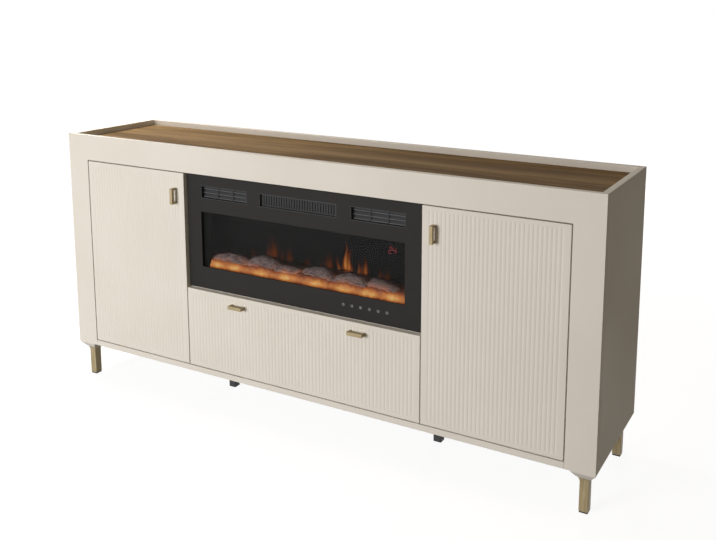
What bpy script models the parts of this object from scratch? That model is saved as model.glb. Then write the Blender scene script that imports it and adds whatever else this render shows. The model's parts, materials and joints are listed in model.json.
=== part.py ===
"""Electric fireplace sideboard: fluted doors and drawer, brass legs and a built-in electric fire.

Blender 4.5, metres, +Z up. X runs along the front, the front faces -Y and the feet stand on Z = 0.
The origin is on the floor, midway between the sides, and midway between the handles' front and the back.
"""
import math
import random

import bmesh
import bpy
from mathutils import Matrix, Vector

# Overall size
WIDTH = 1.800
CARCASS_DEPTH = 0.390
CARCASS_HEIGHT = 0.720
LEG_HEIGHT = 0.120

# Boards and the front frame
BOARD = 0.018
STILE_WIDTH = 0.082
RAIL_HEIGHT = 0.082
TOP_SINK = 0.018
BACK_SHEET = 0.003
EDGE_EASE = 0.0008

# Gaps: between fronts, behind the fronts, and between pieces that touch
FRONT_GAP = 0.003
BUMPER_GAP = 0.001
SEAT = 0.0003

# Side compartments
SHELF_HEIGHT = 0.324
SHELF_SETBACK = 0.045
SHELF_PLAY = 0.001
SHELF_BACK_PLAY = 0.002
PIN_RADIUS = 0.0025
PIN_REACH = 0.009
PIN_INSET = 0.045
PIN_BITE = 0.0005

# Openings in the back panel
CABLE_HOLE_RADIUS = 0.030
CABLE_HOLE_LIFT = 0.078
SERVICE_WIDTH = 0.560
SERVICE_HEIGHT = 0.240

# Fluted fronts
FRONT_BOARD = 0.018
FLUTE_PITCH = 0.012
FLUTE_WIDTH = 0.004
FLUTE_FLOOR = 0.0012
FLUTE_DEPTH = 0.0016
FLUTE_MARGIN = 0.012

# Brass pulls
HANDLE_REACH = 0.020
HANDLE_LENGTH = 0.050
HANDLE_WIDTH = 0.010
HANDLE_BAR = 0.010
HANDLE_POST = 0.007
HANDLE_EASE = 0.001
DOOR_HANDLE_INSET = 0.035
DOOR_HANDLE_DROP = 0.073
DRAWER_HANDLE_X = 0.210
DRAWER_HANDLE_DROP = 0.029

# Brass legs, glides and the black feet under the middle
LEG_STEM = 0.025
LEG_FLARE = 0.020
LEG_BEND = 0.025
LEG_SPLAY = math.radians(40)
LEG_PLATE = 0.003
LEG_EDGE = 0.002
LEG_CHAMFER = 0.002
BEND_STEPS = 4
GLIDE_HEIGHT = 0.004
GLIDE_INSET = 0.001
CENTRE_FOOT = 0.025
CENTRE_FOOT_INSET = 0.0185
CENTRE_FOOT_SETBACK = 0.182
CENTRE_FOOT_PLATE = 0.044

# Concealed hinges
CUP_RADIUS = 0.0175
CUP_DEPTH = 0.0115
CUP_CENTRE = 0.022
CUP_FLANGE_LENGTH = 0.052
CUP_FLANGE_WIDTH = 0.024
CUP_FLANGE = 0.0012
HINGE_ARM_HEIGHT = 0.014
HINGE_ARM_DEPTH = 0.010
HINGE_PLATE_LENGTH = 0.048
HINGE_PLATE_HEIGHT = 0.040
HINGE_PLATE = 0.002
HINGE_ARM_LENGTH = 0.042
HINGE_FROM_END = 0.090

# Drawer box and telescopic runners
DRAWER_BACK_GAP = 0.019
DRAWER_BOARD = 0.012
DRAWER_SHEET = 0.005
DRAWER_SIDE_ROOM = 0.047
DRAWER_SIDE_LIFT = 0.020
DRAWER_GROOVE = 0.005
DRAWER_GROOVE_LIFT = 0.010
RUNNER_SPACE = 0.013
RUNNER_HEIGHT = 0.045
RUNNER_GAUGE = 0.0015
RUNNER_PLAY = 0.0005
RUNNER_SIDE_GAP = 0.0012

# Electric fire: fascia, window and vents
FASCIA_THICKNESS = 0.005
WINDOW_WIDTH = 0.700
WINDOW_HEIGHT = 0.174
WINDOW_SILL = 0.070
WINDOW_MARGIN = 0.057
WINDOW_TO_VENT = 0.0435
VENT_HEIGHT = 0.037
VENT_DROP = 0.035
VENT_DEPTH = 0.014
VENT_WALL = 0.002
VENT_SPACING = 0.050
CENTRE_VENT_WIDTH = 0.264
LOUVRES = 3
LOUVRE_THICKNESS = 0.0015
LOUVRE_DEPTH = 0.006
LOUVRE_RISE = 0.006
VENT_POSTS = 2
VENT_POST_WIDTH = 0.008
GRILLE_DEPTH = 0.003
GRILLE_RECESS = 0.006
GRILLE_PITCH = 0.009
GRILLE_SLOT = 0.0055
GRILLE_BORDER = 0.004
GLASS_THICKNESS = 0.004
GLASS_LAP = 0.010

# Electric fire: chassis and what it holds
CHASSIS_PLAY = 0.0045
CHASSIS_TOP_GAP = 0.0067
CHASSIS_SHEET = 0.0015
GLASS_TO_DUCT = 0.011
INTAKE_PITCH = 0.020
INTAKE_SLOT = 0.006
INTAKE_HEIGHT = 0.050
GLAND_RADIUS = 0.009
GLAND_BORE = 0.0045
GLAND_LENGTH = 0.014
GLAND_X = 0.180
GLAND_LIFT = 0.120
BED_END_PLAY = 0.0485
BED_DEPTH = 0.072
BED_RISE = 0.030
BED_STATIONS = 58
EMBER_ROUGHNESS = 0.004
SCREEN_THICKNESS = 0.003
SCREEN_GAP = 0.004

# Electric fire: control board, rotors, heater and motors
PCB_THICKNESS = 0.0016
PCB_STANDOFF = 0.006
PCB_MARGIN = 0.001
PCB_STRIP = 0.033
TOUCH_PADS = 6
TOUCH_PITCH = 0.0284
TOUCH_END = 0.052
TOUCH_RADIUS = 0.005
TOUCH_LIFT = 0.0375
DISPLAY_WIDTH = 0.040
DISPLAY_HEIGHT = 0.026
DISPLAY_EDGE = 0.016
DISPLAY_DROP = 0.013
RISER_WIDTH = 0.018
SHAFT_RADIUS = 0.003
BUSH_RADIUS = 0.007
BUSH_LENGTH = 0.006
FLICKER_RADIUS = 0.014
FLICKER_LIFT = 0.117
FLICKER_CLEARANCE = 0.002
FLICKER_BACK_ROOM = 0.023
VANE_LENGTH = 0.030
VANE_PITCH = 0.036
VANE_THICKNESS = 0.0008
MOTOR_RADIUS = 0.016
MOTOR_LENGTH = 0.018
FAN_LENGTH = 0.240
FAN_RADIUS = 0.024
FAN_BLADES = 16
FAN_DISC = 0.002
FAN_STUB = 0.006
FAN_BACK_ROOM = 0.0195
BLADE_CHORD = 0.008
BLADE_THICKNESS = 0.001
FAN_MOTOR_LENGTH = 0.036
BRACKET = 0.002
BRACKET_DEPTH = 0.040
HEATER_LENGTH = 0.236
HEATER_DEPTH = 0.014
HEATER_SETBACK = 0.030
HEATER_PITCH = 0.010
HEATER_SLOT = 0.006
HEATER_BORDER = 0.008

# Logs, spaced evenly along the ember bed
LOG_LENGTH = 0.150
LOG_RADIUS = 0.020
LOG_PITCH = 0.077
LOG_BACK = 0.024
LOG_SINK = 0.006
LOG_SIDES = 9
LOG_RINGS = 8

# Each log's shift along, place back, length and radius as shares of the usual ones, then its turn and tilt
LOG_FORMS = (
    (0.10, 1.10, 1.00, 1.05, 9.0, 4.0),
    (0.03, 0.85, 0.80, 0.85, -24.0, -3.0),
    (-0.03, 1.15, 1.07, 1.10, 6.0, -3.0),
    (0.11, 0.80, 0.87, 0.90, -14.0, 5.0),
    (0.07, 1.12, 0.93, 1.10, 11.0, -4.0),
    (0.06, 0.85, 0.87, 0.90, -17.0, 3.0),
    (0.05, 1.15, 1.00, 1.05, 5.0, 4.0),
    (0.08, 0.88, 0.80, 0.90, -12.0, -6.0),
)

# Places worked out from the sizes above
SIDES = (("left", -1), ("right", 1))
HALF_WIDTH = WIDTH / 2
FRONT_Y = HANDLE_REACH - (CARCASS_DEPTH + HANDLE_REACH) / 2
FRAME_BACK_Y = FRONT_Y + BOARD
CARCASS_Y = FRONT_Y + max(BOARD, FRONT_BOARD) + BUMPER_GAP
BACK_Y = FRONT_Y + CARCASS_DEPTH
SHEET_Y = BACK_Y - BACK_SHEET
BACK_RAIL_Y = BACK_Y - BOARD
BASE_Z = LEG_HEIGHT
LEG_INSET = LEG_EDGE + LEG_FLARE + LEG_STEM / 2
FLOOR_Z = BASE_Z + BOARD
TOP_Z = LEG_HEIGHT + CARCASS_HEIGHT
RAIL_Z = TOP_Z - RAIL_HEIGHT
CEILING_Z = TOP_Z - TOP_SINK - BOARD
SIDE_INNER = HALF_WIDTH - BOARD
STILE_INNER = HALF_WIDTH - STILE_WIDTH
CENTRE_FRONT = WINDOW_WIDTH / 2 + WINDOW_MARGIN
PARTITION_MID = CENTRE_FRONT + FRONT_GAP / 2
PARTITION_INNER = PARTITION_MID - BOARD / 2
PARTITION_OUTER = PARTITION_MID + BOARD / 2
FRONTS_LOW = FLOOR_Z + FRONT_GAP
FRONTS_HIGH = RAIL_Z - FRONT_GAP
FRONT_BACK_Y = FRONT_Y + FRONT_BOARD
FASCIA_LOW = FRONTS_HIGH - VENT_DROP - VENT_HEIGHT - WINDOW_TO_VENT - WINDOW_HEIGHT - WINDOW_SILL
FIRE_SHELF_MID = FASCIA_LOW - FRONT_GAP / 2
FIRE_SHELF_Z = FIRE_SHELF_MID - BOARD / 2
FIRE_FLOOR_Z = FIRE_SHELF_MID + BOARD / 2
SHELF_Z = FLOOR_Z + SHELF_HEIGHT
DOOR_INNER = PARTITION_MID + FRONT_GAP / 2
DOOR_OUTER = STILE_INNER - FRONT_GAP
DRAWER_FRONT_HIGH = FIRE_SHELF_MID - FRONT_GAP / 2
FASCIA_BACK_Y = CARCASS_Y - SEAT
FASCIA_Y = FASCIA_BACK_Y - FASCIA_THICKNESS
WINDOW_LOW = FASCIA_LOW + WINDOW_SILL
WINDOW_HIGH = WINDOW_LOW + WINDOW_HEIGHT
VENT_HIGH = FRONTS_HIGH - VENT_DROP
VENT_LOW = VENT_HIGH - VENT_HEIGHT
GLASS_Y = FASCIA_BACK_Y + SEAT
GLASS_BACK_Y = GLASS_Y + GLASS_THICKNESS
CHASSIS_Y = FASCIA_BACK_Y + SEAT
CHASSIS_X = PARTITION_INNER - CHASSIS_PLAY
CHASSIS_LOW = FIRE_FLOOR_Z + SEAT
CHASSIS_HIGH = FRONTS_HIGH - CHASSIS_TOP_GAP
CHAMBER_X = CHASSIS_X - CHASSIS_SHEET
CHAMBER_LOW = CHASSIS_LOW + CHASSIS_SHEET
CHAMBER_HIGH = WINDOW_HIGH + GLASS_LAP + GLASS_TO_DUCT
DUCT_LOW = CHAMBER_HIGH + CHASSIS_SHEET
DUCT_HIGH = CHASSIS_HIGH - CHASSIS_SHEET
PCB_Y = GLASS_BACK_Y + PCB_STANDOFF
PCB_BACK_Y = PCB_Y + PCB_THICKNESS
BED_Y = PCB_BACK_Y + PCB_MARGIN
BED_BACK_Y = BED_Y + BED_DEPTH
BED_X = CHAMBER_X - BED_END_PLAY
LEDGE_Z = WINDOW_LOW + BED_RISE
SCREEN_Y = BED_BACK_Y + SCREEN_GAP
SCREEN_BACK_Y = SCREEN_Y + SCREEN_THICKNESS
FLICKER_SWEEP = max(FLICKER_RADIUS, MOTOR_RADIUS)
FLICKER_Y = SCREEN_BACK_Y + FLICKER_CLEARANCE + FLICKER_SWEEP
FLICKER_Z = CHAMBER_LOW + FLICKER_LIFT
CHAMBER_BACK_Y = FLICKER_Y + FLICKER_SWEEP + FLICKER_BACK_ROOM
CHASSIS_BACK_Y = CHAMBER_BACK_Y + CHASSIS_SHEET
FAN_Y = CHAMBER_BACK_Y - FAN_BACK_ROOM - FAN_RADIUS
FAN_Z = (DUCT_LOW + DUCT_HIGH) / 2
DRAWER_OUTER = PARTITION_INNER - RUNNER_SPACE
DRAWER_INNER = DRAWER_OUTER - DRAWER_BOARD
DRAWER_Y = FRONT_BACK_Y + SEAT
DRAWER_BACK_Y = SHEET_Y - DRAWER_BACK_GAP
DRAWER_SIDE_LOW = FLOOR_Z + DRAWER_SIDE_LIFT
DRAWER_SIDE_HIGH = FIRE_SHELF_Z - DRAWER_SIDE_ROOM
GROOVE_LOW = DRAWER_SIDE_LOW + DRAWER_GROOVE_LIFT
GROOVE_HIGH = GROOVE_LOW + DRAWER_SHEET + 2 * SEAT
RUNNER_Z = (DRAWER_SIDE_LOW + DRAWER_SIDE_HIGH) / 2
RUNNER_Y = CARCASS_Y
RUNNER_FLANGE = RUNNER_SPACE - SEAT - RUNNER_SIDE_GAP
OUTER_WEB = PARTITION_INNER - SEAT
MIDDLE_WEB = OUTER_WEB - RUNNER_GAUGE - RUNNER_PLAY
INNER_FACE = MIDDLE_WEB - RUNNER_GAUGE - RUNNER_PLAY
RUNNER_HALF = RUNNER_HEIGHT / 2
MIDDLE_HALF = RUNNER_HALF - RUNNER_GAUGE - RUNNER_PLAY
INNER_HALF = MIDDLE_HALF - RUNNER_GAUGE - RUNNER_PLAY


# Scene and materials


def clear_scene():
    """Removes every object of the file this script runs in."""
    for thing in list(bpy.data.objects):
        bpy.data.objects.remove(thing, do_unlink=True)


def linear(value):
    """Turns one sRGB channel between 0 and 1 into its linear value."""
    if value <= 0.04045:
        return value / 12.92
    return ((value + 0.055) / 1.055) ** 2.4


def principled(name, hex_colour, roughness, metallic=0.0, alpha=1.0, glow=0.0):
    """Makes a Principled BSDF material from an sRGB colour such as E2DACE."""
    channels = [int(hex_colour[start:start + 2], 16) / 255 for start in (0, 2, 4)]
    colour = [linear(channel) for channel in channels] + [1.0]
    material = bpy.data.materials.new(name)
    material.use_nodes = True
    shader = material.node_tree.nodes["Principled BSDF"]
    shader.inputs["Base Color"].default_value = colour
    shader.inputs["Roughness"].default_value = roughness
    shader.inputs["Metallic"].default_value = metallic
    shader.inputs["Alpha"].default_value = alpha
    shader.inputs["Emission Color"].default_value = colour
    shader.inputs["Emission Strength"].default_value = glow
    return material


def make_materials():
    """Returns the part's materials by name."""
    return {
        "cream": principled("cream_board", "D9D1C4", 0.55),
        "walnut": principled("wood_top", "7A6247", 0.45),
        "hardboard": principled("back_hardboard", "CFC6B6", 0.75),
        "drawer": principled("drawer_board", "D2CABC", 0.65),
        "brass": principled("satin_brass", "A58C5F", 0.35, metallic=1.0),
        "black": principled("black_plastic", "1B1B1B", 0.60),
        "steel": principled("zinc_steel", "A9ABAC", 0.35, metallic=1.0),
        "fascia": principled("fascia_black", "373737", 0.50),
        "sheet": principled("chassis_black", "222222", 0.60, metallic=0.5),
        "glass": principled("window_glass", "20211F", 0.05, alpha=0.35),
        "screen": principled("flame_screen", "151515", 0.30),
        "ember": principled("ember_resin", "E8893A", 0.55, glow=1.0),
        "log": principled("log_resin", "6E6763", 0.85),
        "circuit": principled("circuit_board", "16301F", 0.50),
        "ceramic": principled("heater_ceramic", "B9B4A8", 0.60),
        "foil": principled("reflector_foil", "C9CBCD", 0.20, metallic=1.0),
    }


# Objects and modifiers


def add_object(name, bm, parent=None):
    """Turns a bmesh in world coordinates into an object, with its faces pointing out."""
    bmesh.ops.recalc_face_normals(bm, faces=bm.faces[:])
    mesh = bpy.data.meshes.new(name)
    bm.to_mesh(mesh)
    bm.free()
    thing = bpy.data.objects.new(name, mesh)
    bpy.context.scene.collection.objects.link(thing)
    if parent is not None:
        thing.parent = parent
        thing.matrix_parent_inverse = Matrix.Translation(parent.location).inverted()
    return thing


def add_node(name, bm, material, parent=None, ease=0.0, smooth=False):
    """Adds one sub-part with its material, a small edge bevel and smooth shading where asked."""
    thing = add_object(name, bm, parent)
    thing.data.materials.append(material)
    if ease > 0.0:
        bevel = thing.modifiers.new("ease", "BEVEL")
        bevel.width = ease
        bevel.segments = 1
        bevel.limit_method = "ANGLE"
        bevel.angle_limit = math.radians(40.0)
    if smooth:
        thing.data.shade_smooth()
        thing.data.set_sharp_from_angle(angle=math.radians(35.0))
    return thing


def add_axis(name, location):
    """Adds an empty on a joint's axis, to carry the pieces that move about it."""
    axis = bpy.data.objects.new(name, None)
    axis.location = location
    axis.empty_display_size = 0.05
    bpy.context.scene.collection.objects.link(axis)
    return axis


def combine(target, name, bm, operation):
    """Cuts a shape from a piece, or joins it to the piece, by an exact Boolean."""
    tool = add_object(name, bm)
    tool.hide_render = True
    tool.display_type = "WIRE"
    modifier = target.modifiers.new(name, "BOOLEAN")
    modifier.operation = operation
    modifier.solver = "EXACT"
    modifier.object = tool


# Shapes


def spread(sign, near, far):
    """Returns the low and high X of a stretch on one side, from its distances to the middle."""
    return min(sign * near, sign * far), max(sign * near, sign * far)


def skin_rings(bm, rings):
    """Joins rings of vertices into one closed skin with a face at each end."""
    for lower, upper in zip(rings, rings[1:]):
        for index in range(len(lower)):
            ahead = (index + 1) % len(lower)
            bm.faces.new((lower[index], lower[ahead], upper[ahead], upper[index]))
    bm.faces.new(rings[0])
    bm.faces.new(rings[-1])


def add_prism(bm, outline, axis, span):
    """Adds a closed prism: an outline in the plane square to an axis, swept along a span of it."""
    first, second = [index for index in range(3) if index != axis]
    rings = []
    for level in span:
        ring = []
        for across, up in outline:
            point = [0.0, 0.0, 0.0]
            point[axis] = level
            point[first] = across
            point[second] = up
            ring.append(bm.verts.new(point))
        rings.append(ring)
    skin_rings(bm, rings)


def add_box(bm, x, y, z):
    """Adds a box from its low and high X, Y and Z."""
    outline = [(x[0], y[0]), (x[1], y[0]), (x[1], y[1]), (x[0], y[1])]
    add_prism(bm, outline, 2, z)


def add_cylinder(bm, centre, radius, axis, span, sides=20):
    """Adds a cylinder along an axis; centre is its place in the other two coordinates."""
    step = 2 * math.pi / sides
    outline = []
    for index in range(sides):
        angle = (index + 0.5) * step
        outline.append((centre[0] + radius * math.cos(angle), centre[1] + radius * math.sin(angle)))
    add_prism(bm, outline, axis, span)


def add_board(name, x, y, z, material, parent=None, ease=EDGE_EASE):
    """Adds a plain board with eased edges as a sub-part."""
    bm = bmesh.new()
    add_box(bm, x, y, z)
    return add_node(name, bm, material, parent, ease)


def chamfered_square(half, chamfer):
    """Returns the eight corners of a square with cut corners, about its middle."""
    near = half - chamfer
    return [
        (half, -near), (half, near), (near, half), (-near, half),
        (-half, near), (-half, -near), (-near, -half), (near, -half),
    ]


def add_square_stack(bm, x, y, levels, chamfer):
    """Adds a closed upright form from square sections, each given as a height and a half width."""
    rings = []
    for height, half in levels:
        ring = []
        for across, back in chamfered_square(half, chamfer):
            ring.append(bm.verts.new((x + across, y + back, height)))
        rings.append(ring)
    skin_rings(bm, rings)


def evenly(low, high, pitch):
    """Returns the middles of as many steps of a pitch as fit between two ends, centred."""
    count = max(1, int((high - low) / pitch + 0.001))
    start = (low + high) / 2 - (count - 1) * pitch / 2
    return [start + index * pitch for index in range(count)]


# Carcass


def build_frame(materials):
    """Side panels, stiles, rails and the sunk top panel."""
    cream = materials["cream"]
    for side, sign in SIDES:
        side_x = spread(sign, SIDE_INNER, HALF_WIDTH)
        add_board(f"side_panel_{side}", side_x, (FRAME_BACK_Y + SEAT, BACK_Y), (BASE_Z, TOP_Z), cream)
        stile_x = spread(sign, STILE_INNER, HALF_WIDTH)
        add_board(f"front_stile_{side}", stile_x, (FRONT_Y, FRAME_BACK_Y), (BASE_Z, TOP_Z), cream)
    rail = STILE_INNER - SEAT
    add_board("front_top_rail", (-rail, rail), (FRONT_Y, FRAME_BACK_Y), (RAIL_Z, TOP_Z), cream)
    inner = SIDE_INNER - SEAT
    add_board("back_top_rail", (-inner, inner), (BACK_RAIL_Y, BACK_Y), (RAIL_Z, TOP_Z), cream)
    top_y = (FRAME_BACK_Y + SEAT, BACK_RAIL_Y - SEAT)
    add_board("top_panel", (-inner, inner), top_y, (CEILING_Z, CEILING_Z + BOARD), materials["walnut"])


def build_bottom_panel(materials):
    """The bottom board, notched round both stiles so that its front edge closes the frame."""
    inner = SIDE_INNER - SEAT
    tongue = STILE_INNER - SEAT
    shoulder = FRAME_BACK_Y + SEAT
    back = SHEET_Y - SEAT
    outline = [
        (-tongue, FRONT_Y), (tongue, FRONT_Y), (tongue, shoulder), (inner, shoulder),
        (inner, back), (-inner, back), (-inner, shoulder), (-tongue, shoulder),
    ]
    bm = bmesh.new()
    add_prism(bm, outline, 2, (BASE_Z, FLOOR_Z))
    add_node("bottom_panel", bm, materials["cream"], ease=EDGE_EASE)


def build_partitions(materials):
    """The two upright boards beside the fire, notched for the back rail."""
    low = FLOOR_Z + SEAT
    high = CEILING_Z - SEAT
    notch_y = BACK_RAIL_Y - SEAT
    notch_z = RAIL_Z - SEAT
    back = SHEET_Y - SEAT
    outline = [
        (CARCASS_Y, low), (back, low), (back, notch_z),
        (notch_y, notch_z), (notch_y, high), (CARCASS_Y, high),
    ]
    for side, sign in SIDES:
        bm = bmesh.new()
        add_prism(bm, outline, 0, spread(sign, PARTITION_INNER, PARTITION_OUTER))
        add_node(f"partition_{side}", bm, materials["cream"])


def build_shelves(materials):
    """The board under the fire, and one shelf on four pins in each side compartment."""
    inner = PARTITION_INNER - SEAT
    back = SHEET_Y - SEAT
    fire_shelf_z = (FIRE_SHELF_Z, FIRE_FLOOR_Z)
    add_board("fire_shelf", (-inner, inner), (CARCASS_Y, back), fire_shelf_z, materials["cream"])
    shelf_y = (CARCASS_Y + SHELF_SETBACK, SHEET_Y - SHELF_BACK_PLAY)
    pin_z = SHELF_Z - PIN_RADIUS + PIN_BITE
    for side, sign in SIDES:
        x = spread(sign, PARTITION_OUTER + SHELF_PLAY, SIDE_INNER - SHELF_PLAY)
        shelf = add_board(f"shelf_{side}", x, shelf_y, (SHELF_Z, SHELF_Z + BOARD), materials["cream"])
        bm = bmesh.new()
        near = PARTITION_OUTER + SEAT
        far = SIDE_INNER - SEAT
        for pin_y in (shelf_y[0] + PIN_INSET, shelf_y[1] - PIN_INSET):
            add_cylinder(bm, (pin_y, pin_z), PIN_RADIUS, 0, spread(sign, near, near + PIN_REACH), sides=10)
            add_cylinder(bm, (pin_y, pin_z), PIN_RADIUS, 0, spread(sign, far - PIN_REACH, far), sides=10)
        combine(shelf, f"shelf_pins_{side}", bm, "UNION")


def build_back_panel(materials):
    """The thin back with a cable hole behind each compartment and a service opening behind the fire."""
    inner = SIDE_INNER - SEAT
    panel = add_board("back_panel", (-inner, inner), (SHEET_Y, BACK_Y), (BASE_Z, RAIL_Z - SEAT),
                      materials["hardboard"], ease=0.0)
    through = (SHEET_Y - BOARD, BACK_Y + BOARD)
    middle_x = (PARTITION_OUTER + SIDE_INNER) / 2
    middle_z = (FIRE_FLOOR_Z + RAIL_Z) / 2
    service_z = (middle_z - SERVICE_HEIGHT / 2, middle_z + SERVICE_HEIGHT / 2)
    bm = bmesh.new()
    add_box(bm, (-SERVICE_WIDTH / 2, SERVICE_WIDTH / 2), through, service_z)
    for _, sign in SIDES:
        centre = (sign * middle_x, SHELF_Z + BOARD + CABLE_HOLE_LIFT)
        add_cylinder(bm, centre, CABLE_HOLE_RADIUS, 1, through, sides=24)
    combine(panel, "back_openings", bm, "DIFFERENCE")


# Legs and feet


def leg_levels():
    """Returns the leg's section heights and half widths: stem, bend, straight flare and top plate."""
    top = BASE_Z - SEAT
    stem = LEG_STEM / 2
    bend_reach = LEG_BEND * (1 - math.cos(LEG_SPLAY))
    bend_rise = LEG_BEND * math.sin(LEG_SPLAY)
    bend_low = top - LEG_PLATE - (LEG_FLARE - bend_reach) / math.tan(LEG_SPLAY) - bend_rise
    levels = [(GLIDE_HEIGHT + SEAT, stem)]
    for step in range(BEND_STEPS + 1):
        angle = LEG_SPLAY * step / BEND_STEPS
        levels.append((bend_low + LEG_BEND * math.sin(angle), stem + LEG_BEND * (1 - math.cos(angle))))
    return levels + [(top - LEG_PLATE, stem + LEG_FLARE), (top, stem + LEG_FLARE)]


def build_legs(materials):
    """Four brass legs that flare into the corners, on dark glides, and two black feet in the middle."""
    rows = (("front", FRONT_Y + LEG_INSET), ("back", BACK_Y - LEG_INSET))
    glide_half = LEG_STEM / 2 - GLIDE_INSET
    for row, y in rows:
        for side, sign in SIDES:
            x = sign * (HALF_WIDTH - LEG_INSET)
            bm = bmesh.new()
            add_square_stack(bm, x, y, leg_levels(), LEG_CHAMFER)
            add_node(f"leg_{row}_{side}", bm, materials["brass"], smooth=True)
            bm = bmesh.new()
            add_square_stack(bm, x, y, [(0.0, glide_half), (GLIDE_HEIGHT, glide_half)], LEG_CHAMFER)
            add_node(f"glide_{row}_{side}", bm, materials["black"])
    half = CENTRE_FOOT / 2
    plate = CENTRE_FOOT_PLATE / 2
    top = BASE_Z - SEAT
    plate_low = top - LEG_PLATE
    shoulder = plate_low - (plate - half)
    levels = [(0.0, half), (shoulder, half), (plate_low, plate), (top, plate)]
    for side, sign in SIDES:
        bm = bmesh.new()
        x = sign * (PARTITION_INNER - CENTRE_FOOT_INSET)
        add_square_stack(bm, x, FRONT_Y + CENTRE_FOOT_SETBACK, levels, LEG_CHAMFER)
        add_node(f"centre_foot_{side}", bm, materials["black"])


# Fluted fronts and pulls


def cut_flutes(front, name, x, z):
    """Cuts upright flutes with sloped sides into a front, inside a plain margin."""
    bm = bmesh.new()
    mouth = FLUTE_WIDTH / 2
    floor = FLUTE_FLOOR / 2
    slope = (mouth - floor) / FLUTE_DEPTH
    proud = mouth + slope * FLUTE_DEPTH
    span = (z[0] + FLUTE_MARGIN, z[1] - FLUTE_MARGIN)
    for middle in evenly(x[0] + FLUTE_MARGIN, x[1] - FLUTE_MARGIN, FLUTE_PITCH):
        outline = [
            (middle - proud, FRONT_Y - FLUTE_DEPTH), (middle + proud, FRONT_Y - FLUTE_DEPTH),
            (middle + floor, FRONT_Y + FLUTE_DEPTH), (middle - floor, FRONT_Y + FLUTE_DEPTH),
        ]
        add_prism(bm, outline, 2, span)
    combine(front, name, bm, "DIFFERENCE")


def pull_outline(along, out):
    """Returns a bracket-shaped pull: a bar on two posts, from its middle along and its back face out."""
    half = HANDLE_LENGTH / 2
    inner = half - HANDLE_POST
    tip = out - (HANDLE_REACH - SEAT)
    gap = tip + HANDLE_BAR
    return [
        (along - half, out), (along - half, tip), (along + half, tip), (along + half, out),
        (along + inner, out), (along + inner, gap), (along - inner, gap), (along - inner, out),
    ]


def build_door(side, sign, materials):
    """One door on its hinge axis: fluted board, hinge cups in their pockets and an upright pull."""
    axis = add_axis(f"door_{side}_axis", (sign * DOOR_OUTER, FRONT_Y, (FRONTS_LOW + FRONTS_HIGH) / 2))
    x = spread(sign, DOOR_INNER, DOOR_OUTER)
    z = (FRONTS_LOW, FRONTS_HIGH)
    door = add_board(f"door_{side}", x, (FRONT_Y, FRONT_BACK_Y), z, materials["cream"], axis)
    cut_flutes(door, f"flutes_door_{side}", x, z)
    pockets = bmesh.new()
    cup_x = sign * (DOOR_OUTER - CUP_CENTRE)
    for row, cup_z in hinge_rows():
        pocket_y = (FRONT_BACK_Y - CUP_DEPTH - SEAT, FRONT_BACK_Y + BOARD)
        add_cylinder(pockets, (cup_x, cup_z), CUP_RADIUS + SEAT, 1, pocket_y, sides=24)
        build_hinge(side, sign, row, cup_z, axis, materials)
    combine(door, f"pockets_door_{side}", pockets, "DIFFERENCE")
    handle_x = DOOR_INNER + DOOR_HANDLE_INSET
    handle_z = FRONTS_HIGH - DOOR_HANDLE_DROP
    outline = [(back, along) for along, back in pull_outline(handle_z, FRONT_Y - SEAT)]
    bm = bmesh.new()
    reach = HANDLE_WIDTH / 2
    add_prism(bm, outline, 0, spread(sign, handle_x - reach, handle_x + reach))
    add_node(f"door_handle_{side}", bm, materials["brass"], axis, ease=HANDLE_EASE)


def hinge_rows():
    """Returns the name and height of each hinge of a door."""
    return (("lower", FRONTS_LOW + HINGE_FROM_END), ("upper", FRONTS_HIGH - HINGE_FROM_END))


def build_hinge(side, sign, row, middle, axis, materials):
    """One concealed hinge: the cup and link on the door, the arm and its plate on the stile."""
    steel = materials["steel"]
    arm_half = HINGE_ARM_HEIGHT / 2
    flange_y = (FRONT_BACK_Y + SEAT, FRONT_BACK_Y + SEAT + CUP_FLANGE)
    arm_y = (flange_y[0] + CUP_FLANGE / 2, flange_y[1] + HINGE_ARM_DEPTH)
    cup_x = DOOR_OUTER - CUP_CENTRE
    bm = bmesh.new()
    add_cylinder(bm, (sign * cup_x, middle), CUP_RADIUS, 1, (FRONT_BACK_Y - CUP_DEPTH, flange_y[1]), sides=24)
    cup = add_node(f"hinge_cup_{side}_{row}", bm, steel, axis, smooth=True)
    bm = bmesh.new()
    flange_x = spread(sign, cup_x - CUP_FLANGE_WIDTH / 2, cup_x + CUP_FLANGE_WIDTH / 2)
    add_box(bm, flange_x, flange_y, (middle - CUP_FLANGE_LENGTH / 2, middle + CUP_FLANGE_LENGTH / 2))
    combine(cup, f"cup_flange_{side}_{row}", bm, "UNION")
    bm = bmesh.new()
    add_box(bm, spread(sign, cup_x, DOOR_OUTER - SEAT), arm_y, (middle - arm_half, middle + arm_half))
    combine(cup, f"cup_link_{side}_{row}", bm, "UNION")
    plate_x = spread(sign, STILE_INNER, STILE_INNER + HINGE_PLATE_LENGTH)
    plate_y = (FRAME_BACK_Y + SEAT, FRAME_BACK_Y + SEAT + HINGE_PLATE)
    bm = bmesh.new()
    add_box(bm, plate_x, plate_y, (middle - HINGE_PLATE_HEIGHT / 2, middle + HINGE_PLATE_HEIGHT / 2))
    plate = add_node(f"hinge_plate_{side}_{row}", bm, steel)
    bm = bmesh.new()
    body_y = (plate_y[0] + HINGE_PLATE / 2, arm_y[1])
    body_z = (middle - arm_half, middle + arm_half)
    add_box(bm, spread(sign, DOOR_OUTER + SEAT, DOOR_OUTER + HINGE_ARM_LENGTH), body_y, body_z)
    combine(plate, f"hinge_arm_{side}_{row}", bm, "UNION")


# Drawer


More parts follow.
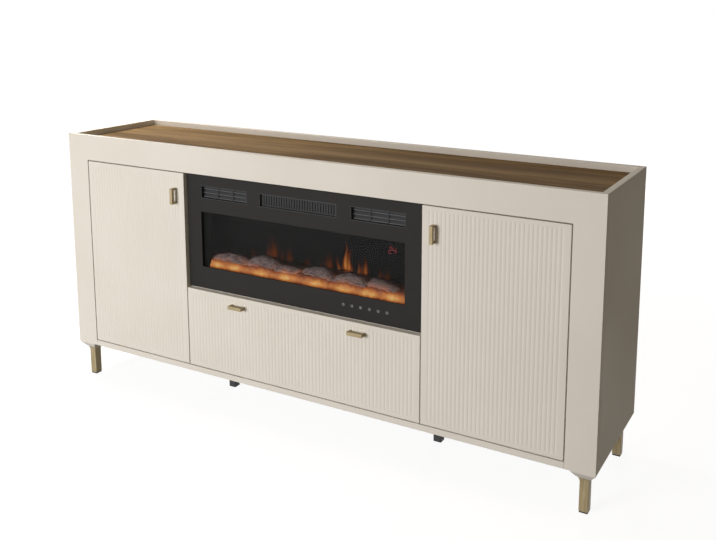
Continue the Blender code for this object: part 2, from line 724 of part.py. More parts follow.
def channel(web, half, flange):
    """Returns a C-shaped runner section that opens towards the middle of the cabinet."""
    tip = web - flange
    lip = half - RUNNER_GAUGE
    floor = web - RUNNER_GAUGE
    return [
        (web, -half), (web, half), (tip, half), (tip, lip),
        (floor, lip), (floor, -lip), (tip, -lip), (tip, -half),
    ]


def placed(sign, outline):
    """Mirrors a section to one side of the cabinet and lifts it to the runner's height."""
    return [(sign * across, RUNNER_Z + up) for across, up in outline]


def build_runners(materials):
    """Outer runner members on the partitions and middle members on their own slide axes."""
    middle_flange = RUNNER_FLANGE - RUNNER_GAUGE - RUNNER_PLAY
    span = (RUNNER_Y, DRAWER_BACK_Y)
    for side, sign in SIDES:
        bm = bmesh.new()
        add_prism(bm, placed(sign, channel(OUTER_WEB, RUNNER_HALF, RUNNER_FLANGE)), 1, span)
        add_node(f"runner_outer_{side}", bm, materials["steel"])
        axis = add_axis(f"runner_middle_{side}_axis", (sign * MIDDLE_WEB, RUNNER_Y, RUNNER_Z))
        bm = bmesh.new()
        add_prism(bm, placed(sign, channel(MIDDLE_WEB, MIDDLE_HALF, middle_flange)), 1, span)
        add_node(f"runner_middle_{side}", bm, materials["steel"], axis)


def drawer_side_outline():
    """Returns a drawer side's section: groove for the bottom inside, inner runner member outside."""
    groove = DRAWER_INNER + DRAWER_GROOVE
    return [
        (DRAWER_OUTER, DRAWER_SIDE_LOW), (DRAWER_OUTER, RUNNER_Z - INNER_HALF),
        (INNER_FACE, RUNNER_Z - INNER_HALF), (INNER_FACE, RUNNER_Z + INNER_HALF),
        (DRAWER_OUTER, RUNNER_Z + INNER_HALF), (DRAWER_OUTER, DRAWER_SIDE_HIGH),
        (DRAWER_INNER, DRAWER_SIDE_HIGH), (DRAWER_INNER, GROOVE_HIGH),
        (groove, GROOVE_HIGH), (groove, GROOVE_LOW),
        (DRAWER_INNER, GROOVE_LOW), (DRAWER_INNER, DRAWER_SIDE_LOW),
    ]


def build_drawer(materials):
    """The wide drawer: fluted front with two pulls, and a box whose bottom sits in grooves."""
    axis = add_axis("drawer_axis", (0.0, FRONT_Y, (FRONTS_LOW + DRAWER_FRONT_HIGH) / 2))
    x = (-CENTRE_FRONT, CENTRE_FRONT)
    z = (FRONTS_LOW, DRAWER_FRONT_HIGH)
    front = add_board("drawer_front", x, (FRONT_Y, FRONT_BACK_Y), z, materials["cream"], axis)
    cut_flutes(front, "flutes_drawer", x, z)
    for side, sign in SIDES:
        outline = [(sign * across, up) for across, up in drawer_side_outline()]
        bm = bmesh.new()
        add_prism(bm, outline, 1, (DRAWER_Y, DRAWER_BACK_Y))
        add_node(f"drawer_side_{side}", bm, materials["drawer"], axis)
        bm = bmesh.new()
        middle = DRAWER_FRONT_HIGH - DRAWER_HANDLE_DROP
        bar = pull_outline(sign * DRAWER_HANDLE_X, FRONT_Y - SEAT)
        add_prism(bm, bar, 2, (middle - HANDLE_WIDTH / 2, middle + HANDLE_WIDTH / 2))
        add_node(f"drawer_handle_{side}", bm, materials["brass"], axis, ease=HANDLE_EASE)
    sheet = DRAWER_INNER + DRAWER_GROOVE - SEAT
    sheet_z = (GROOVE_LOW + SEAT, GROOVE_LOW + SEAT + DRAWER_SHEET)
    add_board("drawer_bottom", (-sheet, sheet), (DRAWER_Y, DRAWER_BACK_Y), sheet_z,
              materials["drawer"], axis, ease=0.0)
    inner = DRAWER_INNER - SEAT
    back_y = (DRAWER_BACK_Y - DRAWER_BOARD, DRAWER_BACK_Y)
    back_z = (sheet_z[1] + SEAT, DRAWER_SIDE_HIGH)
    add_board("drawer_back", (-inner, inner), back_y, back_z, materials["drawer"], axis, ease=0.0)


# Electric fire: front


def side_vent_spans():
    """Returns the X spans of the two louvred vents, whose outer ends line up with the window."""
    inner = CENTRE_VENT_WIDTH / 2 + VENT_SPACING
    return [spread(sign, inner, WINDOW_WIDTH / 2) for _, sign in SIDES]


def build_fascia(materials):
    """The fire's front: a plate with the window, three deep vents, louvres and posts in the side ones."""
    bm = bmesh.new()
    add_box(bm, (-CENTRE_FRONT, CENTRE_FRONT), (FASCIA_Y, FASCIA_BACK_Y), (FASCIA_LOW, FRONTS_HIGH))
    fascia = add_node("fire_fascia", bm, materials["fascia"])
    centre_span = (-CENTRE_VENT_WIDTH / 2, CENTRE_VENT_WIDTH / 2)
    collars = bmesh.new()
    holes = bmesh.new()
    louvres = bmesh.new()
    posts = bmesh.new()
    collar_back = FASCIA_Y + VENT_DEPTH
    for low, high in side_vent_spans() + [centre_span]:
        collar_z = (VENT_LOW - VENT_WALL, VENT_HIGH + VENT_WALL)
        collar_y = (FASCIA_BACK_Y - FASCIA_THICKNESS / 2, collar_back)
        add_box(collars, (low - VENT_WALL, high + VENT_WALL), collar_y, collar_z)
        add_box(holes, (low, high), (FASCIA_Y - BOARD, collar_back + BOARD), (VENT_LOW, VENT_HIGH))
    window_x = (-WINDOW_WIDTH / 2, WINDOW_WIDTH / 2)
    add_box(holes, window_x, (FASCIA_Y - BOARD, FASCIA_BACK_Y + BOARD), (WINDOW_LOW, WINDOW_HIGH))
    blade_back = collar_back - LOUVRE_THICKNESS
    blade_front = blade_back - LOUVRE_DEPTH
    pitch = VENT_HEIGHT / LOUVRES
    post_y = (blade_front - LOUVRE_THICKNESS / 2, blade_back + LOUVRE_THICKNESS / 2)
    post_z = (VENT_LOW - VENT_WALL / 2, VENT_HIGH + VENT_WALL / 2)
    for low, high in side_vent_spans():
        for index in range(LOUVRES):
            blade_z = VENT_LOW + pitch * (index + 0.5) - LOUVRE_RISE / 2
            outline = [
                (blade_front, blade_z), (blade_back, blade_z + LOUVRE_RISE),
                (blade_back, blade_z + LOUVRE_RISE + LOUVRE_THICKNESS), (blade_front, blade_z + LOUVRE_THICKNESS),
            ]
            add_prism(louvres, outline, 0, (low - VENT_WALL / 2, high + VENT_WALL / 2))
        for index in range(VENT_POSTS):
            middle = low + (high - low) * (index + 1) / (VENT_POSTS + 1)
            half = VENT_POST_WIDTH / 2
            add_box(posts, (middle - half, middle + half), post_y, post_z)
    combine(fascia, "fascia_collars", collars, "UNION")
    combine(fascia, "fascia_holes", holes, "DIFFERENCE")
    combine(fascia, "fascia_louvres", louvres, "UNION")
    combine(fascia, "fascia_posts", posts, "UNION")


def add_slots(bm, x, y, z, pitch, width):
    """Adds a row of upright slot cutters between two X places."""
    for middle in evenly(x[0], x[1], pitch):
        add_box(bm, (middle - width / 2, middle + width / 2), y, z)


def build_outlet_grille(materials):
    """The slatted grille that sits inside the centre vent."""
    half = CENTRE_VENT_WIDTH / 2 - SEAT
    z = (VENT_LOW + SEAT, VENT_HIGH - SEAT)
    y = (FASCIA_Y + GRILLE_RECESS, FASCIA_Y + GRILLE_RECESS + GRILLE_DEPTH)
    bm = bmesh.new()
    add_box(bm, (-half, half), y, z)
    grille = add_node("outlet_grille", bm, materials["fascia"])
    slots = bmesh.new()
    slot_x = (-half + GRILLE_BORDER, half - GRILLE_BORDER)
    slot_z = (z[0] + GRILLE_BORDER, z[1] - GRILLE_BORDER)
    add_slots(slots, slot_x, (y[0] - BOARD, y[1] + BOARD), slot_z, GRILLE_PITCH, GRILLE_SLOT)
    combine(grille, "grille_slots", slots, "DIFFERENCE")


def build_window(materials):
    """The pane behind the window, and the dark screen that carries the flame picture."""
    glass_x = WINDOW_WIDTH / 2 + GLASS_LAP
    glass_z = (WINDOW_LOW - GLASS_LAP, WINDOW_HIGH + GLASS_LAP)
    add_board("fire_glass", (-glass_x, glass_x), (GLASS_Y, GLASS_BACK_Y), glass_z,
              materials["glass"], ease=0.0)
    screen_x = CHAMBER_X - SEAT
    screen_z = (CHAMBER_LOW + SEAT, CHAMBER_HIGH - SEAT)
    add_board("flame_screen", (-screen_x, screen_x), (SCREEN_Y, SCREEN_BACK_Y), screen_z,
              materials["screen"], ease=0.0)


def build_control_board(materials):
    """The control board: touch pads behind the fascia, a riser at the side and the display block."""
    low = FASCIA_LOW + TOUCH_LIFT - PCB_STRIP / 2
    strip_high = low + PCB_STRIP
    right = WINDOW_WIDTH / 2 + RISER_WIDTH + RISER_WIDTH / 4
    riser = right - RISER_WIDTH
    first_pad = WINDOW_WIDTH / 2 - TOUCH_END - (TOUCH_PADS - 1) * TOUCH_PITCH
    left = first_pad - PCB_STRIP / 2
    display_right = WINDOW_WIDTH / 2 - DISPLAY_EDGE
    display_left = display_right - DISPLAY_WIDTH
    display_high = WINDOW_HIGH - DISPLAY_DROP
    display_low = display_high - DISPLAY_HEIGHT
    outline = [
        (left, low), (right, low), (right, display_high), (display_left, display_high),
        (display_left, display_low), (riser, display_low), (riser, strip_high), (left, strip_high),
    ]
    bm = bmesh.new()
    add_prism(bm, outline, 1, (PCB_Y, PCB_BACK_Y))
    board = add_node("control_board", bm, materials["circuit"])
    blocks = bmesh.new()
    display_y = (GLASS_BACK_Y + SEAT, PCB_Y + PCB_THICKNESS / 2)
    rim = PCB_THICKNESS / 2
    add_box(blocks, (display_left + rim, display_right), display_y, (display_low + rim, display_high - rim))
    for index in range(TOUCH_PADS):
        centre = (first_pad + index * TOUCH_PITCH, FASCIA_LOW + TOUCH_LIFT)
        pad_y = (FASCIA_BACK_Y + SEAT, PCB_Y + PCB_THICKNESS / 2)
        add_cylinder(blocks, centre, TOUCH_RADIUS, 1, pad_y, sides=12)
    combine(board, "board_blocks", blocks, "UNION")


# Electric fire: ember bed and logs


def build_ember_bed(materials):
    """The resin bed: a lumpy glowing front and a flat ledge behind it that carries the logs."""
    noise = random.Random(7)
    low = CHAMBER_LOW + SEAT
    rough = EMBER_ROUGHNESS
    rings = []
    bm = bmesh.new()
    for station in range(BED_STATIONS + 1):
        x = BED_X * (2 * station / BED_STATIONS - 1)
        drop = noise.uniform(0.0, 2 * rough)
        push = noise.uniform(0.0, rough)
        section = [
            (BED_Y, low), (BED_Y, WINDOW_LOW - rough),
            (BED_Y + rough + push, WINDOW_LOW + BED_RISE / 2 - drop / 2),
            (BED_Y + 2 * rough + push, LEDGE_Z - drop),
            (BED_Y + 4 * rough, LEDGE_Z), (BED_BACK_Y, LEDGE_Z), (BED_BACK_Y, low),
        ]
        rings.append([bm.verts.new((x, y, z)) for y, z in section])
    skin_rings(bm, rings)
    add_node("ember_bed", bm, materials["ember"])


def log_mesh(station, form, noise):
    """Returns one tapered, knotty log as a closed bmesh of rings about its own line."""
    shift, back, length_share, radius_share, turn, tilt = form
    length = LOG_LENGTH * length_share
    radius = LOG_RADIUS * radius_share
    axis_turn = Matrix.Rotation(math.radians(turn), 3, "Z") @ Matrix.Rotation(math.radians(tilt), 3, "Y")
    x = station + LOG_PITCH * shift
    y = BED_Y + 4 * EMBER_ROUGHNESS + LOG_BACK * back
    middle = Vector((x, y, LEDGE_Z + radius - LOG_SINK))
    lobes = [noise.uniform(0.90, 1.12) for _ in range(LOG_SIDES)]
    rings = []
    bm = bmesh.new()
    for ring_index in range(LOG_RINGS):
        share = ring_index / (LOG_RINGS - 1)
        taper = 1.0 - 0.18 * share + noise.uniform(-0.05, 0.05)
        if ring_index in (0, LOG_RINGS - 1):
            taper *= 0.86
        ring = []
        for index in range(LOG_SIDES):
            angle = 2 * math.pi * index / LOG_SIDES
            reach = radius * taper * lobes[index] * noise.uniform(0.96, 1.04)
            local = Vector(((share - 0.5) * length, reach * math.cos(angle), reach * math.sin(angle)))
            ring.append(bm.verts.new(middle + axis_turn @ local))
        rings.append(ring)
    skin_rings(bm, rings)
    bmesh.ops.triangulate(bm, faces=bm.faces[:])
    return bm


def build_log_set(materials):
    """The moulded set of logs: crossing logs joined into one piece and cut flat for the ledge."""
    noise = random.Random(21)
    end = LOG_LENGTH / 2
    stations = evenly(-BED_X + end - LOG_PITCH / 2, BED_X - end + LOG_PITCH / 2, LOG_PITCH)
    log_set = add_node("log_set", log_mesh(stations[0], LOG_FORMS[0], noise), materials["log"], smooth=True)
    for number, station in enumerate(stations[1:], start=1):
        form = LOG_FORMS[number % len(LOG_FORMS)]
        combine(log_set, f"log_{number + 1}", log_mesh(station, form, noise), "UNION")
    bm = bmesh.new()
    reach = LOG_LENGTH
    cut_x = (-BED_X - reach, BED_X + reach)
    add_box(bm, cut_x, (BED_Y - reach, BED_BACK_Y + reach), (LEDGE_Z - reach, LEDGE_Z + SEAT))
    combine(log_set, "log_ledge", bm, "DIFFERENCE")


# Electric fire: chassis, rotors and heater


def build_chassis(materials):
    """The folded steel box: flame chamber below, heater duct above, intake slots, bush and brackets."""
    bm = bmesh.new()
    add_box(bm, (-CHASSIS_X, CHASSIS_X), (CHASSIS_Y, CHASSIS_BACK_Y), (CHASSIS_LOW, CHASSIS_HIGH))
    chassis = add_node("fire_chassis", bm, materials["sheet"])
    cavities = bmesh.new()
    cavity_y = (CHASSIS_Y - BOARD, CHAMBER_BACK_Y)
    add_box(cavities, (-CHAMBER_X, CHAMBER_X), cavity_y, (CHAMBER_LOW, CHAMBER_HIGH))
    add_box(cavities, (-CHAMBER_X, CHAMBER_X), cavity_y, (DUCT_LOW, DUCT_HIGH))
    combine(chassis, "chassis_cavities", cavities, "DIFFERENCE")
    fittings = bmesh.new()
    bite = CHASSIS_SHEET / 2
    bush_x = (-CHAMBER_X - bite, -CHAMBER_X + BUSH_LENGTH)
    add_cylinder(fittings, (FLICKER_Y, FLICKER_Z), BUSH_RADIUS, 0, bush_x, sides=16)
    bracket_y = (FAN_Y - BRACKET_DEPTH / 2, CHASSIS_BACK_Y - bite)
    bracket_z = (DUCT_LOW - bite, DUCT_HIGH + bite)
    for start in bracket_starts():
        add_box(fittings, (start, start + BRACKET), bracket_y, bracket_z)
    gland_y = (CHASSIS_BACK_Y - bite, CHASSIS_BACK_Y + GLAND_LENGTH)
    gland = (GLAND_X, CHASSIS_LOW + GLAND_LIFT)
    add_cylinder(fittings, gland, GLAND_RADIUS, 1, gland_y, sides=16)
    combine(chassis, "chassis_fittings", fittings, "UNION")
    bores = bmesh.new()
    bore = SHAFT_RADIUS + SEAT
    left_start = bracket_starts()[0]
    add_cylinder(bores, (FLICKER_Y, FLICKER_Z), bore, 0, (-CHAMBER_X + SEAT, -CHAMBER_X + BOARD), sides=16)
    add_cylinder(bores, (FAN_Y, FAN_Z), bore, 0, (left_start - BRACKET, left_start + 2 * BRACKET), sides=16)
    gland_bore_y = (CHASSIS_BACK_Y - BOARD, CHASSIS_BACK_Y + 2 * GLAND_LENGTH)
    add_cylinder(bores, gland, GLAND_BORE, 1, gland_bore_y, sides=12)
    slot_x = (-FAN_LENGTH / 2, FAN_LENGTH / 2)
    slot_y = (CHASSIS_BACK_Y - BOARD, CHASSIS_BACK_Y + BOARD)
    slot_z = (FAN_Z - INTAKE_HEIGHT / 2, FAN_Z + INTAKE_HEIGHT / 2)
    add_slots(bores, slot_x, slot_y, slot_z, INTAKE_PITCH, INTAKE_SLOT)
    combine(chassis, "chassis_bores", bores, "DIFFERENCE")


def bracket_starts():
    """Returns the low X of the fan's left bearing bracket and of the bracket behind its motor."""
    left = -FAN_LENGTH / 2 - FAN_STUB
    right = FAN_LENGTH / 2 + FAN_STUB + SEAT + FAN_MOTOR_LENGTH + SEAT
    return (left, right)


def build_flicker(materials):
    """The flicker rotor with its helix of bright vanes, and the small motor at its right end."""
    right = CHAMBER_X - SEAT - MOTOR_LENGTH
    shaft_x = (-CHAMBER_X + 2 * SEAT, right - SEAT)
    axis = add_axis("flicker_rotor_axis", ((shaft_x[0] + shaft_x[1]) / 2, FLICKER_Y, FLICKER_Z))
    bm = bmesh.new()
    add_cylinder(bm, (FLICKER_Y, FLICKER_Z), SHAFT_RADIUS, 0, shaft_x, sides=16)
    rotor = add_node("flicker_rotor", bm, materials["foil"], axis)
    vanes = bmesh.new()
    vane_low = -CHAMBER_X + BUSH_LENGTH + VANE_THICKNESS
    for number, middle in enumerate(evenly(vane_low, shaft_x[1], VANE_PITCH)):
        turn = number * math.pi * (3.0 - math.sqrt(5.0))
        outline = []
        for along, across in ((-1, -1), (1, -1), (1, 1), (-1, 1)):
            reach = along * FLICKER_RADIUS
            side = across * VANE_THICKNESS / 2
            y = FLICKER_Y + reach * math.cos(turn) - side * math.sin(turn)
            z = FLICKER_Z + reach * math.sin(turn) + side * math.cos(turn)
            outline.append((y, z))
        add_prism(vanes, outline, 0, (middle - VANE_LENGTH / 2, middle + VANE_LENGTH / 2))
    combine(rotor, "flicker_vanes", vanes, "UNION")
    bm = bmesh.new()
    add_cylinder(bm, (FLICKER_Y, FLICKER_Z), MOTOR_RADIUS, 0, (right, right + MOTOR_LENGTH), sides=20)
    add_node("flicker_motor", bm, materials["steel"], smooth=True)


def build_fan(materials):
    """The cross-flow blower wheel on its stubs, and its motor."""
    half = FAN_LENGTH / 2
    axis = add_axis("fan_rotor_axis", (0.0, FAN_Y, FAN_Z))
    centre = (FAN_Y, FAN_Z)
    bm = bmesh.new()
    add_cylinder(bm, centre, FAN_RADIUS, 0, (-half, -half + FAN_DISC), sides=24)
    add_cylinder(bm, centre, FAN_RADIUS, 0, (-FAN_DISC / 2, FAN_DISC / 2), sides=24)
    add_cylinder(bm, centre, FAN_RADIUS, 0, (half - FAN_DISC, half), sides=24)
    wheel = add_node("fan_rotor", bm, materials["black"], axis)
    blades = bmesh.new()
    ring_radius = FAN_RADIUS - BLADE_CHORD / 2 - BLADE_THICKNESS
    for index in range(FAN_BLADES):
        turn = 2 * math.pi * index / FAN_BLADES
        lean = turn + math.radians(28.0)
        middle = Vector((FAN_Y + ring_radius * math.cos(turn), FAN_Z + ring_radius * math.sin(turn)))
        along = Vector((math.cos(lean), math.sin(lean))) * BLADE_CHORD / 2
        across = Vector((-math.sin(lean), math.cos(lean))) * BLADE_THICKNESS / 2
        front = middle + along
        back = middle - along
        corners = [back - across, front - across, front + across, back + across]
        outline = [(corner.x, corner.y) for corner in corners]
        add_prism(blades, outline, 0, (-half + FAN_DISC / 2, half - FAN_DISC / 2))
    combine(wheel, "fan_blades", blades, "UNION")
    stubs = bmesh.new()
    add_cylinder(stubs, centre, SHAFT_RADIUS, 0, (-half - FAN_STUB + SEAT, -half + FAN_DISC / 2), sides=16)
    add_cylinder(stubs, centre, SHAFT_RADIUS, 0, (half - FAN_DISC / 2, half + FAN_STUB), sides=16)
    combine(wheel, "fan_stubs", stubs, "UNION")
    motor_low = half + FAN_STUB + SEAT
    bm = bmesh.new()
    add_cylinder(bm, centre, MOTOR_RADIUS, 0, (motor_low, motor_low + FAN_MOTOR_LENGTH), sides=20)
    add_node("fan_motor", bm, materials["steel"], smooth=True)


def build_heater(materials):
    """The finned heater block between the outlet and the fan, as high as the duct."""
    half = HEATER_LENGTH / 2
    low = CHASSIS_Y + HEATER_SETBACK
    z = (DUCT_LOW + SEAT, DUCT_HIGH - SEAT)
    bm = bmesh.new()
    add_box(bm, (-half, half), (low, low + HEATER_DEPTH), z)
    heater = add_node("heater_element", bm, materials["ceramic"])
    slots = bmesh.new()
    slot_x = (-half + HEATER_BORDER, half - HEATER_BORDER)
    slot_z = (z[0] + HEATER_BORDER, z[1] - HEATER_BORDER)
    slot_y = (low - BOARD, low + HEATER_DEPTH + BOARD)
    add_slots(slots, slot_x, slot_y, slot_z, HEATER_PITCH, HEATER_SLOT)
    combine(heater, "heater_slots", slots, "DIFFERENCE")


def main():
    """Builds the whole sideboard."""
    clear_scene()
    materials = make_materials()
    build_frame(materials)
    build_bottom_panel(materials)
    build_partitions(materials)
    build_shelves(materials)
    build_back_panel(materials)
    build_legs(materials)
    for side, sign in SIDES:
        build_door(side, sign, materials)
    build_runners(materials)
    build_drawer(materials)
    build_fascia(materials)
    build_outlet_grille(materials)
    build_window(materials)
    build_control_board(materials)
    build_ember_bed(materials)
    build_log_set(materials)
    build_chassis(materials)
    build_flicker(materials)
    build_fan(materials)
    build_heater(materials)


main()
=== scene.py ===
"""Looks of the electric fireplace sideboard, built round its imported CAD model.

Metres, +Z up. X runs along the front, the front faces -Y and the feet stand on Z = 0.
Each sub-assembly is a class that builds its pieces in place; each finish is a frozen dataclass.
"""
import functools
import json
import logging
import math
import random
from collections.abc import Callable, Iterable, Sequence
from dataclasses import dataclass, replace
from enum import Enum, IntEnum

import bmesh
import bpy
from bmesh.types import BMEdge, BMesh, BMFace, BMVert
from bpy.types import ID, Material, Mesh, Node, NodeSocket, NodeTree, Object
from mathutils import Matrix, Vector, noise

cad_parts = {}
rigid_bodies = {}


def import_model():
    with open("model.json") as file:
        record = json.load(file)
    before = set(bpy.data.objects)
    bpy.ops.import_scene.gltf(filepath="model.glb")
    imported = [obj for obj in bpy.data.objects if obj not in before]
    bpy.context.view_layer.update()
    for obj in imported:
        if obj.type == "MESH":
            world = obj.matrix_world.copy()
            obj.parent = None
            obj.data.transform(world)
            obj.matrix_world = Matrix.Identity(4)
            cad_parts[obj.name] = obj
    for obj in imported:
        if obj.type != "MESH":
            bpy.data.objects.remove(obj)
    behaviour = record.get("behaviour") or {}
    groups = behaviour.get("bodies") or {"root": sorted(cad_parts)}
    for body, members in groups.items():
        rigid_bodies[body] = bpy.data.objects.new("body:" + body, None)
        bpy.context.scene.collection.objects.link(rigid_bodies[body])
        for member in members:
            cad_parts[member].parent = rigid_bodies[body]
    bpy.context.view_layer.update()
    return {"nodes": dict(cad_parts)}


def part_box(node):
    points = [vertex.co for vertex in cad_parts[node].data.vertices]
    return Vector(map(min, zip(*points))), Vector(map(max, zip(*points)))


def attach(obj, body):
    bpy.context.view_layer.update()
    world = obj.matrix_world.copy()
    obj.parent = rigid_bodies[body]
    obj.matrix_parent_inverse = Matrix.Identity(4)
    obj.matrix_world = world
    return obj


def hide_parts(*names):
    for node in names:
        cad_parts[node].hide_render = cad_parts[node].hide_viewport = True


for leftover in list(bpy.data.objects):
    bpy.data.objects.remove(leftover, do_unlink=True)
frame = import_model()

LOG = logging.getLogger("sideboard")
MM = 0.001
# Mesh attribute of the glow: lamp light in the bed and flames, painted light of the bed on the logs.
GLOW_ATTRIBUTE = "glow_level"
# Edges that turn by more than this are rounded, and by more than this shaded as sharp.
ROUNDED_TURN = math.radians(30.0)
SHARP_TURN = math.radians(38.0)

Span = tuple[float, float]
Pair = tuple[float, float]
Size = tuple[float, float, float]
Colour = tuple[float, float, float, float]
Stops = Sequence[tuple[float, str]]


class Axis(IntEnum):
    """The three directions of the cabinet."""

    X = 0
    Y = 1
    Z = 2


class Side(Enum):
    """The two sides of the cabinet; the value is the sign of X."""

    LEFT = -1
    RIGHT = 1

    @property
    def word(self) -> str:
        """The side's name as the model's nodes spell it."""
        return self.name.lower()

    def near(self, span: Span) -> float:
        """The end of an X span that lies nearer to the cabinet's middle."""
        return span[0] if self is Side.RIGHT else span[1]

    def far(self, span: Span) -> float:
        """The end of an X span that lies farther from the cabinet's middle."""
        return span[1] if self is Side.RIGHT else span[0]

    def span(self, near: float, far: float) -> Span:
        """Low and high X of a stretch, from its distances to the middle."""
        return ordered(self.value * near, self.value * far)


class Row(Enum):
    """The two rows of legs."""

    FRONT = "front"
    BACK = "back"


# Shader nodes and finishes


def linear(code: str) -> Colour:
    """Turns an sRGB hex colour into linear light.

    Args:
        code: Six hex digits, such as DED6CA.

    Returns:
        Red, green, blue and an alpha of 1.
    """
    channels = []
    for start in (0, 2, 4):
        value = int(code[start:start + 2], 16) / 255
        channels.append(value / 12.92 if value <= 0.04045 else ((value + 0.055) / 1.055) ** 2.4)
    return channels[0], channels[1], channels[2], 1.0


def add_node(
    tree: NodeTree,
    kind: str,
    sockets: dict | None = None,
    stops: Stops = (),
    **settings,
) -> Node:
    """Adds a shader node with its settings and links.

    Args:
        tree: The node tree of a material or of the world.
        kind: The node's type.
        sockets: Values of its inputs by name or number; another node's output makes a link.
        stops: Places and hex colours of a colour ramp, in rising order.
        settings: The node's own properties.

    Returns:
        The new node.
    """
    made = tree.nodes.new(kind)
    for name, value in settings.items():
        setattr(made, name, value)
    for key, value in (sockets or {}).items():
        if isinstance(value, NodeSocket):
            tree.links.new(value, made.inputs[key])
        else:
            made.inputs[key].default_value = value
    for number, (place, code) in enumerate(stops):
        elements = made.color_ramp.elements
        element = elements[number] if number < len(elements) else elements.new(place)
        element.position = place
        element.color = linear(code)
    return made


def grain(
    tree: NodeTree, size: Size | float, detail: float = 2.0, distortion: float = 0.0,
) -> NodeSocket:
    """Adds a noise pattern whose lumps have a real size.

    Args:
        tree: The material's node tree.
        size: Length of a lump in millimetres, for X, Y and Z or for all three.
        detail: How many finer layers the noise has.
        distortion: How far the noise is pulled out of shape.

    Returns:
        The pattern's value, around 0.5.
    """
    place = add_node(tree, "ShaderNodeTexCoord").outputs["Object"]
    lengths = (size, size, size) if isinstance(size, float) else size
    scale = [1.0 / (length * MM) for length in lengths]
    scaled = add_node(tree, "ShaderNodeMapping", {"Vector": place, "Scale": scale})
    inputs = {"Vector": scaled.outputs[0], "Scale": 1.0, "Detail": detail, "Distortion": distortion}
    return add_node(tree, "ShaderNodeTexNoise", inputs).outputs["Fac"]


@dataclass(frozen=True)
class Finish:
    """A surface with a soft mottle, a sheen that drifts with it and a fine relief.

    Attributes:
        name: The material's name.
        colour: Its main colour.
        tone: The colour that it drifts to in patches.
        patch: Size of the patches in millimetres.
        grit: Size of the relief's lumps in millimetres.
        relief: Height of the relief in millimetres.
        roughness: The usual roughness.
        drift: How far the roughness strays either way.
        metallic: 1 for bare metal.
        sockets: Other constant values of the shader, by socket name.
    """

    name: str
    colour: str
    tone: str
    patch: Size | float = 60.0
    grit: Size | float = 1.5
    relief: float = 0.02
    roughness: float = 0.5
    drift: float = 0.05
    metallic: float = 0.0
    sockets: tuple[tuple[str, object], ...] = ()

    def make(self) -> Material:
        """Makes the material."""
        material = bpy.data.materials.new(self.name)
        material.use_nodes = True
        shader = material.node_tree.nodes["Principled BSDF"]
        shader.inputs["Metallic"].default_value = self.metallic
        for socket, value in self.sockets:
            shader.inputs[socket].default_value = value
        self.dress(material.node_tree, shader)
        return material

    def dress(self, tree: NodeTree, shader: Node) -> None:
        """Adds the patches, the sheen and the relief.

        Args:
            tree: The material's node tree.
            shader: Its Principled BSDF.
        """
        patches = grain(tree, self.patch, 3.0)
        self.tint(tree, shader, patches, ((0.36, self.tone), (0.64, self.colour)))
        self.shine(tree, shader, patches)
        self.emboss(tree, shader, grain(tree, self.grit, 2.0), self.relief)

    def tint(self, tree: NodeTree, shader: Node, value: NodeSocket, stops: Stops) -> None:
        """Colours the surface by a ramp over a pattern."""
        ramp = add_node(tree, "ShaderNodeValToRGB", {"Fac": value}, stops)
        tree.links.new(ramp.outputs["Color"], shader.inputs["Base Color"])

    def shine(self, tree: NodeTree, shader: Node, value: NodeSocket) -> None:
        """Lets the roughness follow a pattern within its drift.

        Args:
            tree: The material's node tree.
            shader: Its Principled BSDF.
            value: The pattern.
        """
        low, high = self.roughness - self.drift, self.roughness + self.drift
        inputs = {"Value": value, "From Min": 0.3, "From Max": 0.7, "To Min": low, "To Max": high}
        spread = add_node(tree, "ShaderNodeMapRange", inputs)
        tree.links.new(spread.outputs[0], shader.inputs["Roughness"])

    def emboss(self, tree: NodeTree, shader: Node, value: NodeSocket, height: float) -> None:
        """Raises the surface by a pattern, up to a height in millimetres."""
        bump = add_node(tree, "ShaderNodeBump", {"Height": value, "Distance": height * MM})
        tree.links.new(bump.outputs[0], shader.inputs["Normal"])


@dataclass(frozen=True)
class WoodPrint(Finish):
    """A printed wood surface whose grain runs along X."""

    deep: str = "503C26"
    pale: str = "9C8360"

    def dress(self, tree: NodeTree, shader: Node) -> None:
        """Adds slow bands, growth lines and pores.

        Args:
            tree: The material's node tree.
            shader: Its Principled BSDF.
        """
        bands = grain(tree, (900.0, 75.0, 75.0), 5.0, 0.6)
        lines = grain(tree, (340.0, 9.0, 9.0), 4.0, 0.9)
        # Real pores are 0.3 mm wide; they are drawn 1.4 mm wide so that they show.
        pores = grain(tree, (38.0, 1.4, 1.4), 2.0)
        blend = {0: 0.42, 2: bands, 3: lines}
        mixed = add_node(tree, "ShaderNodeMix", blend, data_type="FLOAT").outputs[0]
        stops = ((0.34, self.deep), (0.46, self.tone), (0.54, self.colour), (0.68, self.pale))
        ramp = add_node(tree, "ShaderNodeValToRGB", {"Fac": mixed}, stops)
        depth = {"Value": pores, "From Min": 0.56, "From Max": 0.70, "To Max": 0.55}
        dark = add_node(tree, "ShaderNodeMapRange", depth)
        inputs = {0: dark.outputs[0], 6: ramp.outputs["Color"], 7: linear(self.deep)}
        colour = add_node(tree, "ShaderNodeMix", inputs, data_type="RGBA").outputs[2]
        tree.links.new(colour, shader.inputs["Base Color"])
        self.shine(tree, shader, lines)
        self.emboss(tree, shader, pores, -self.relief)


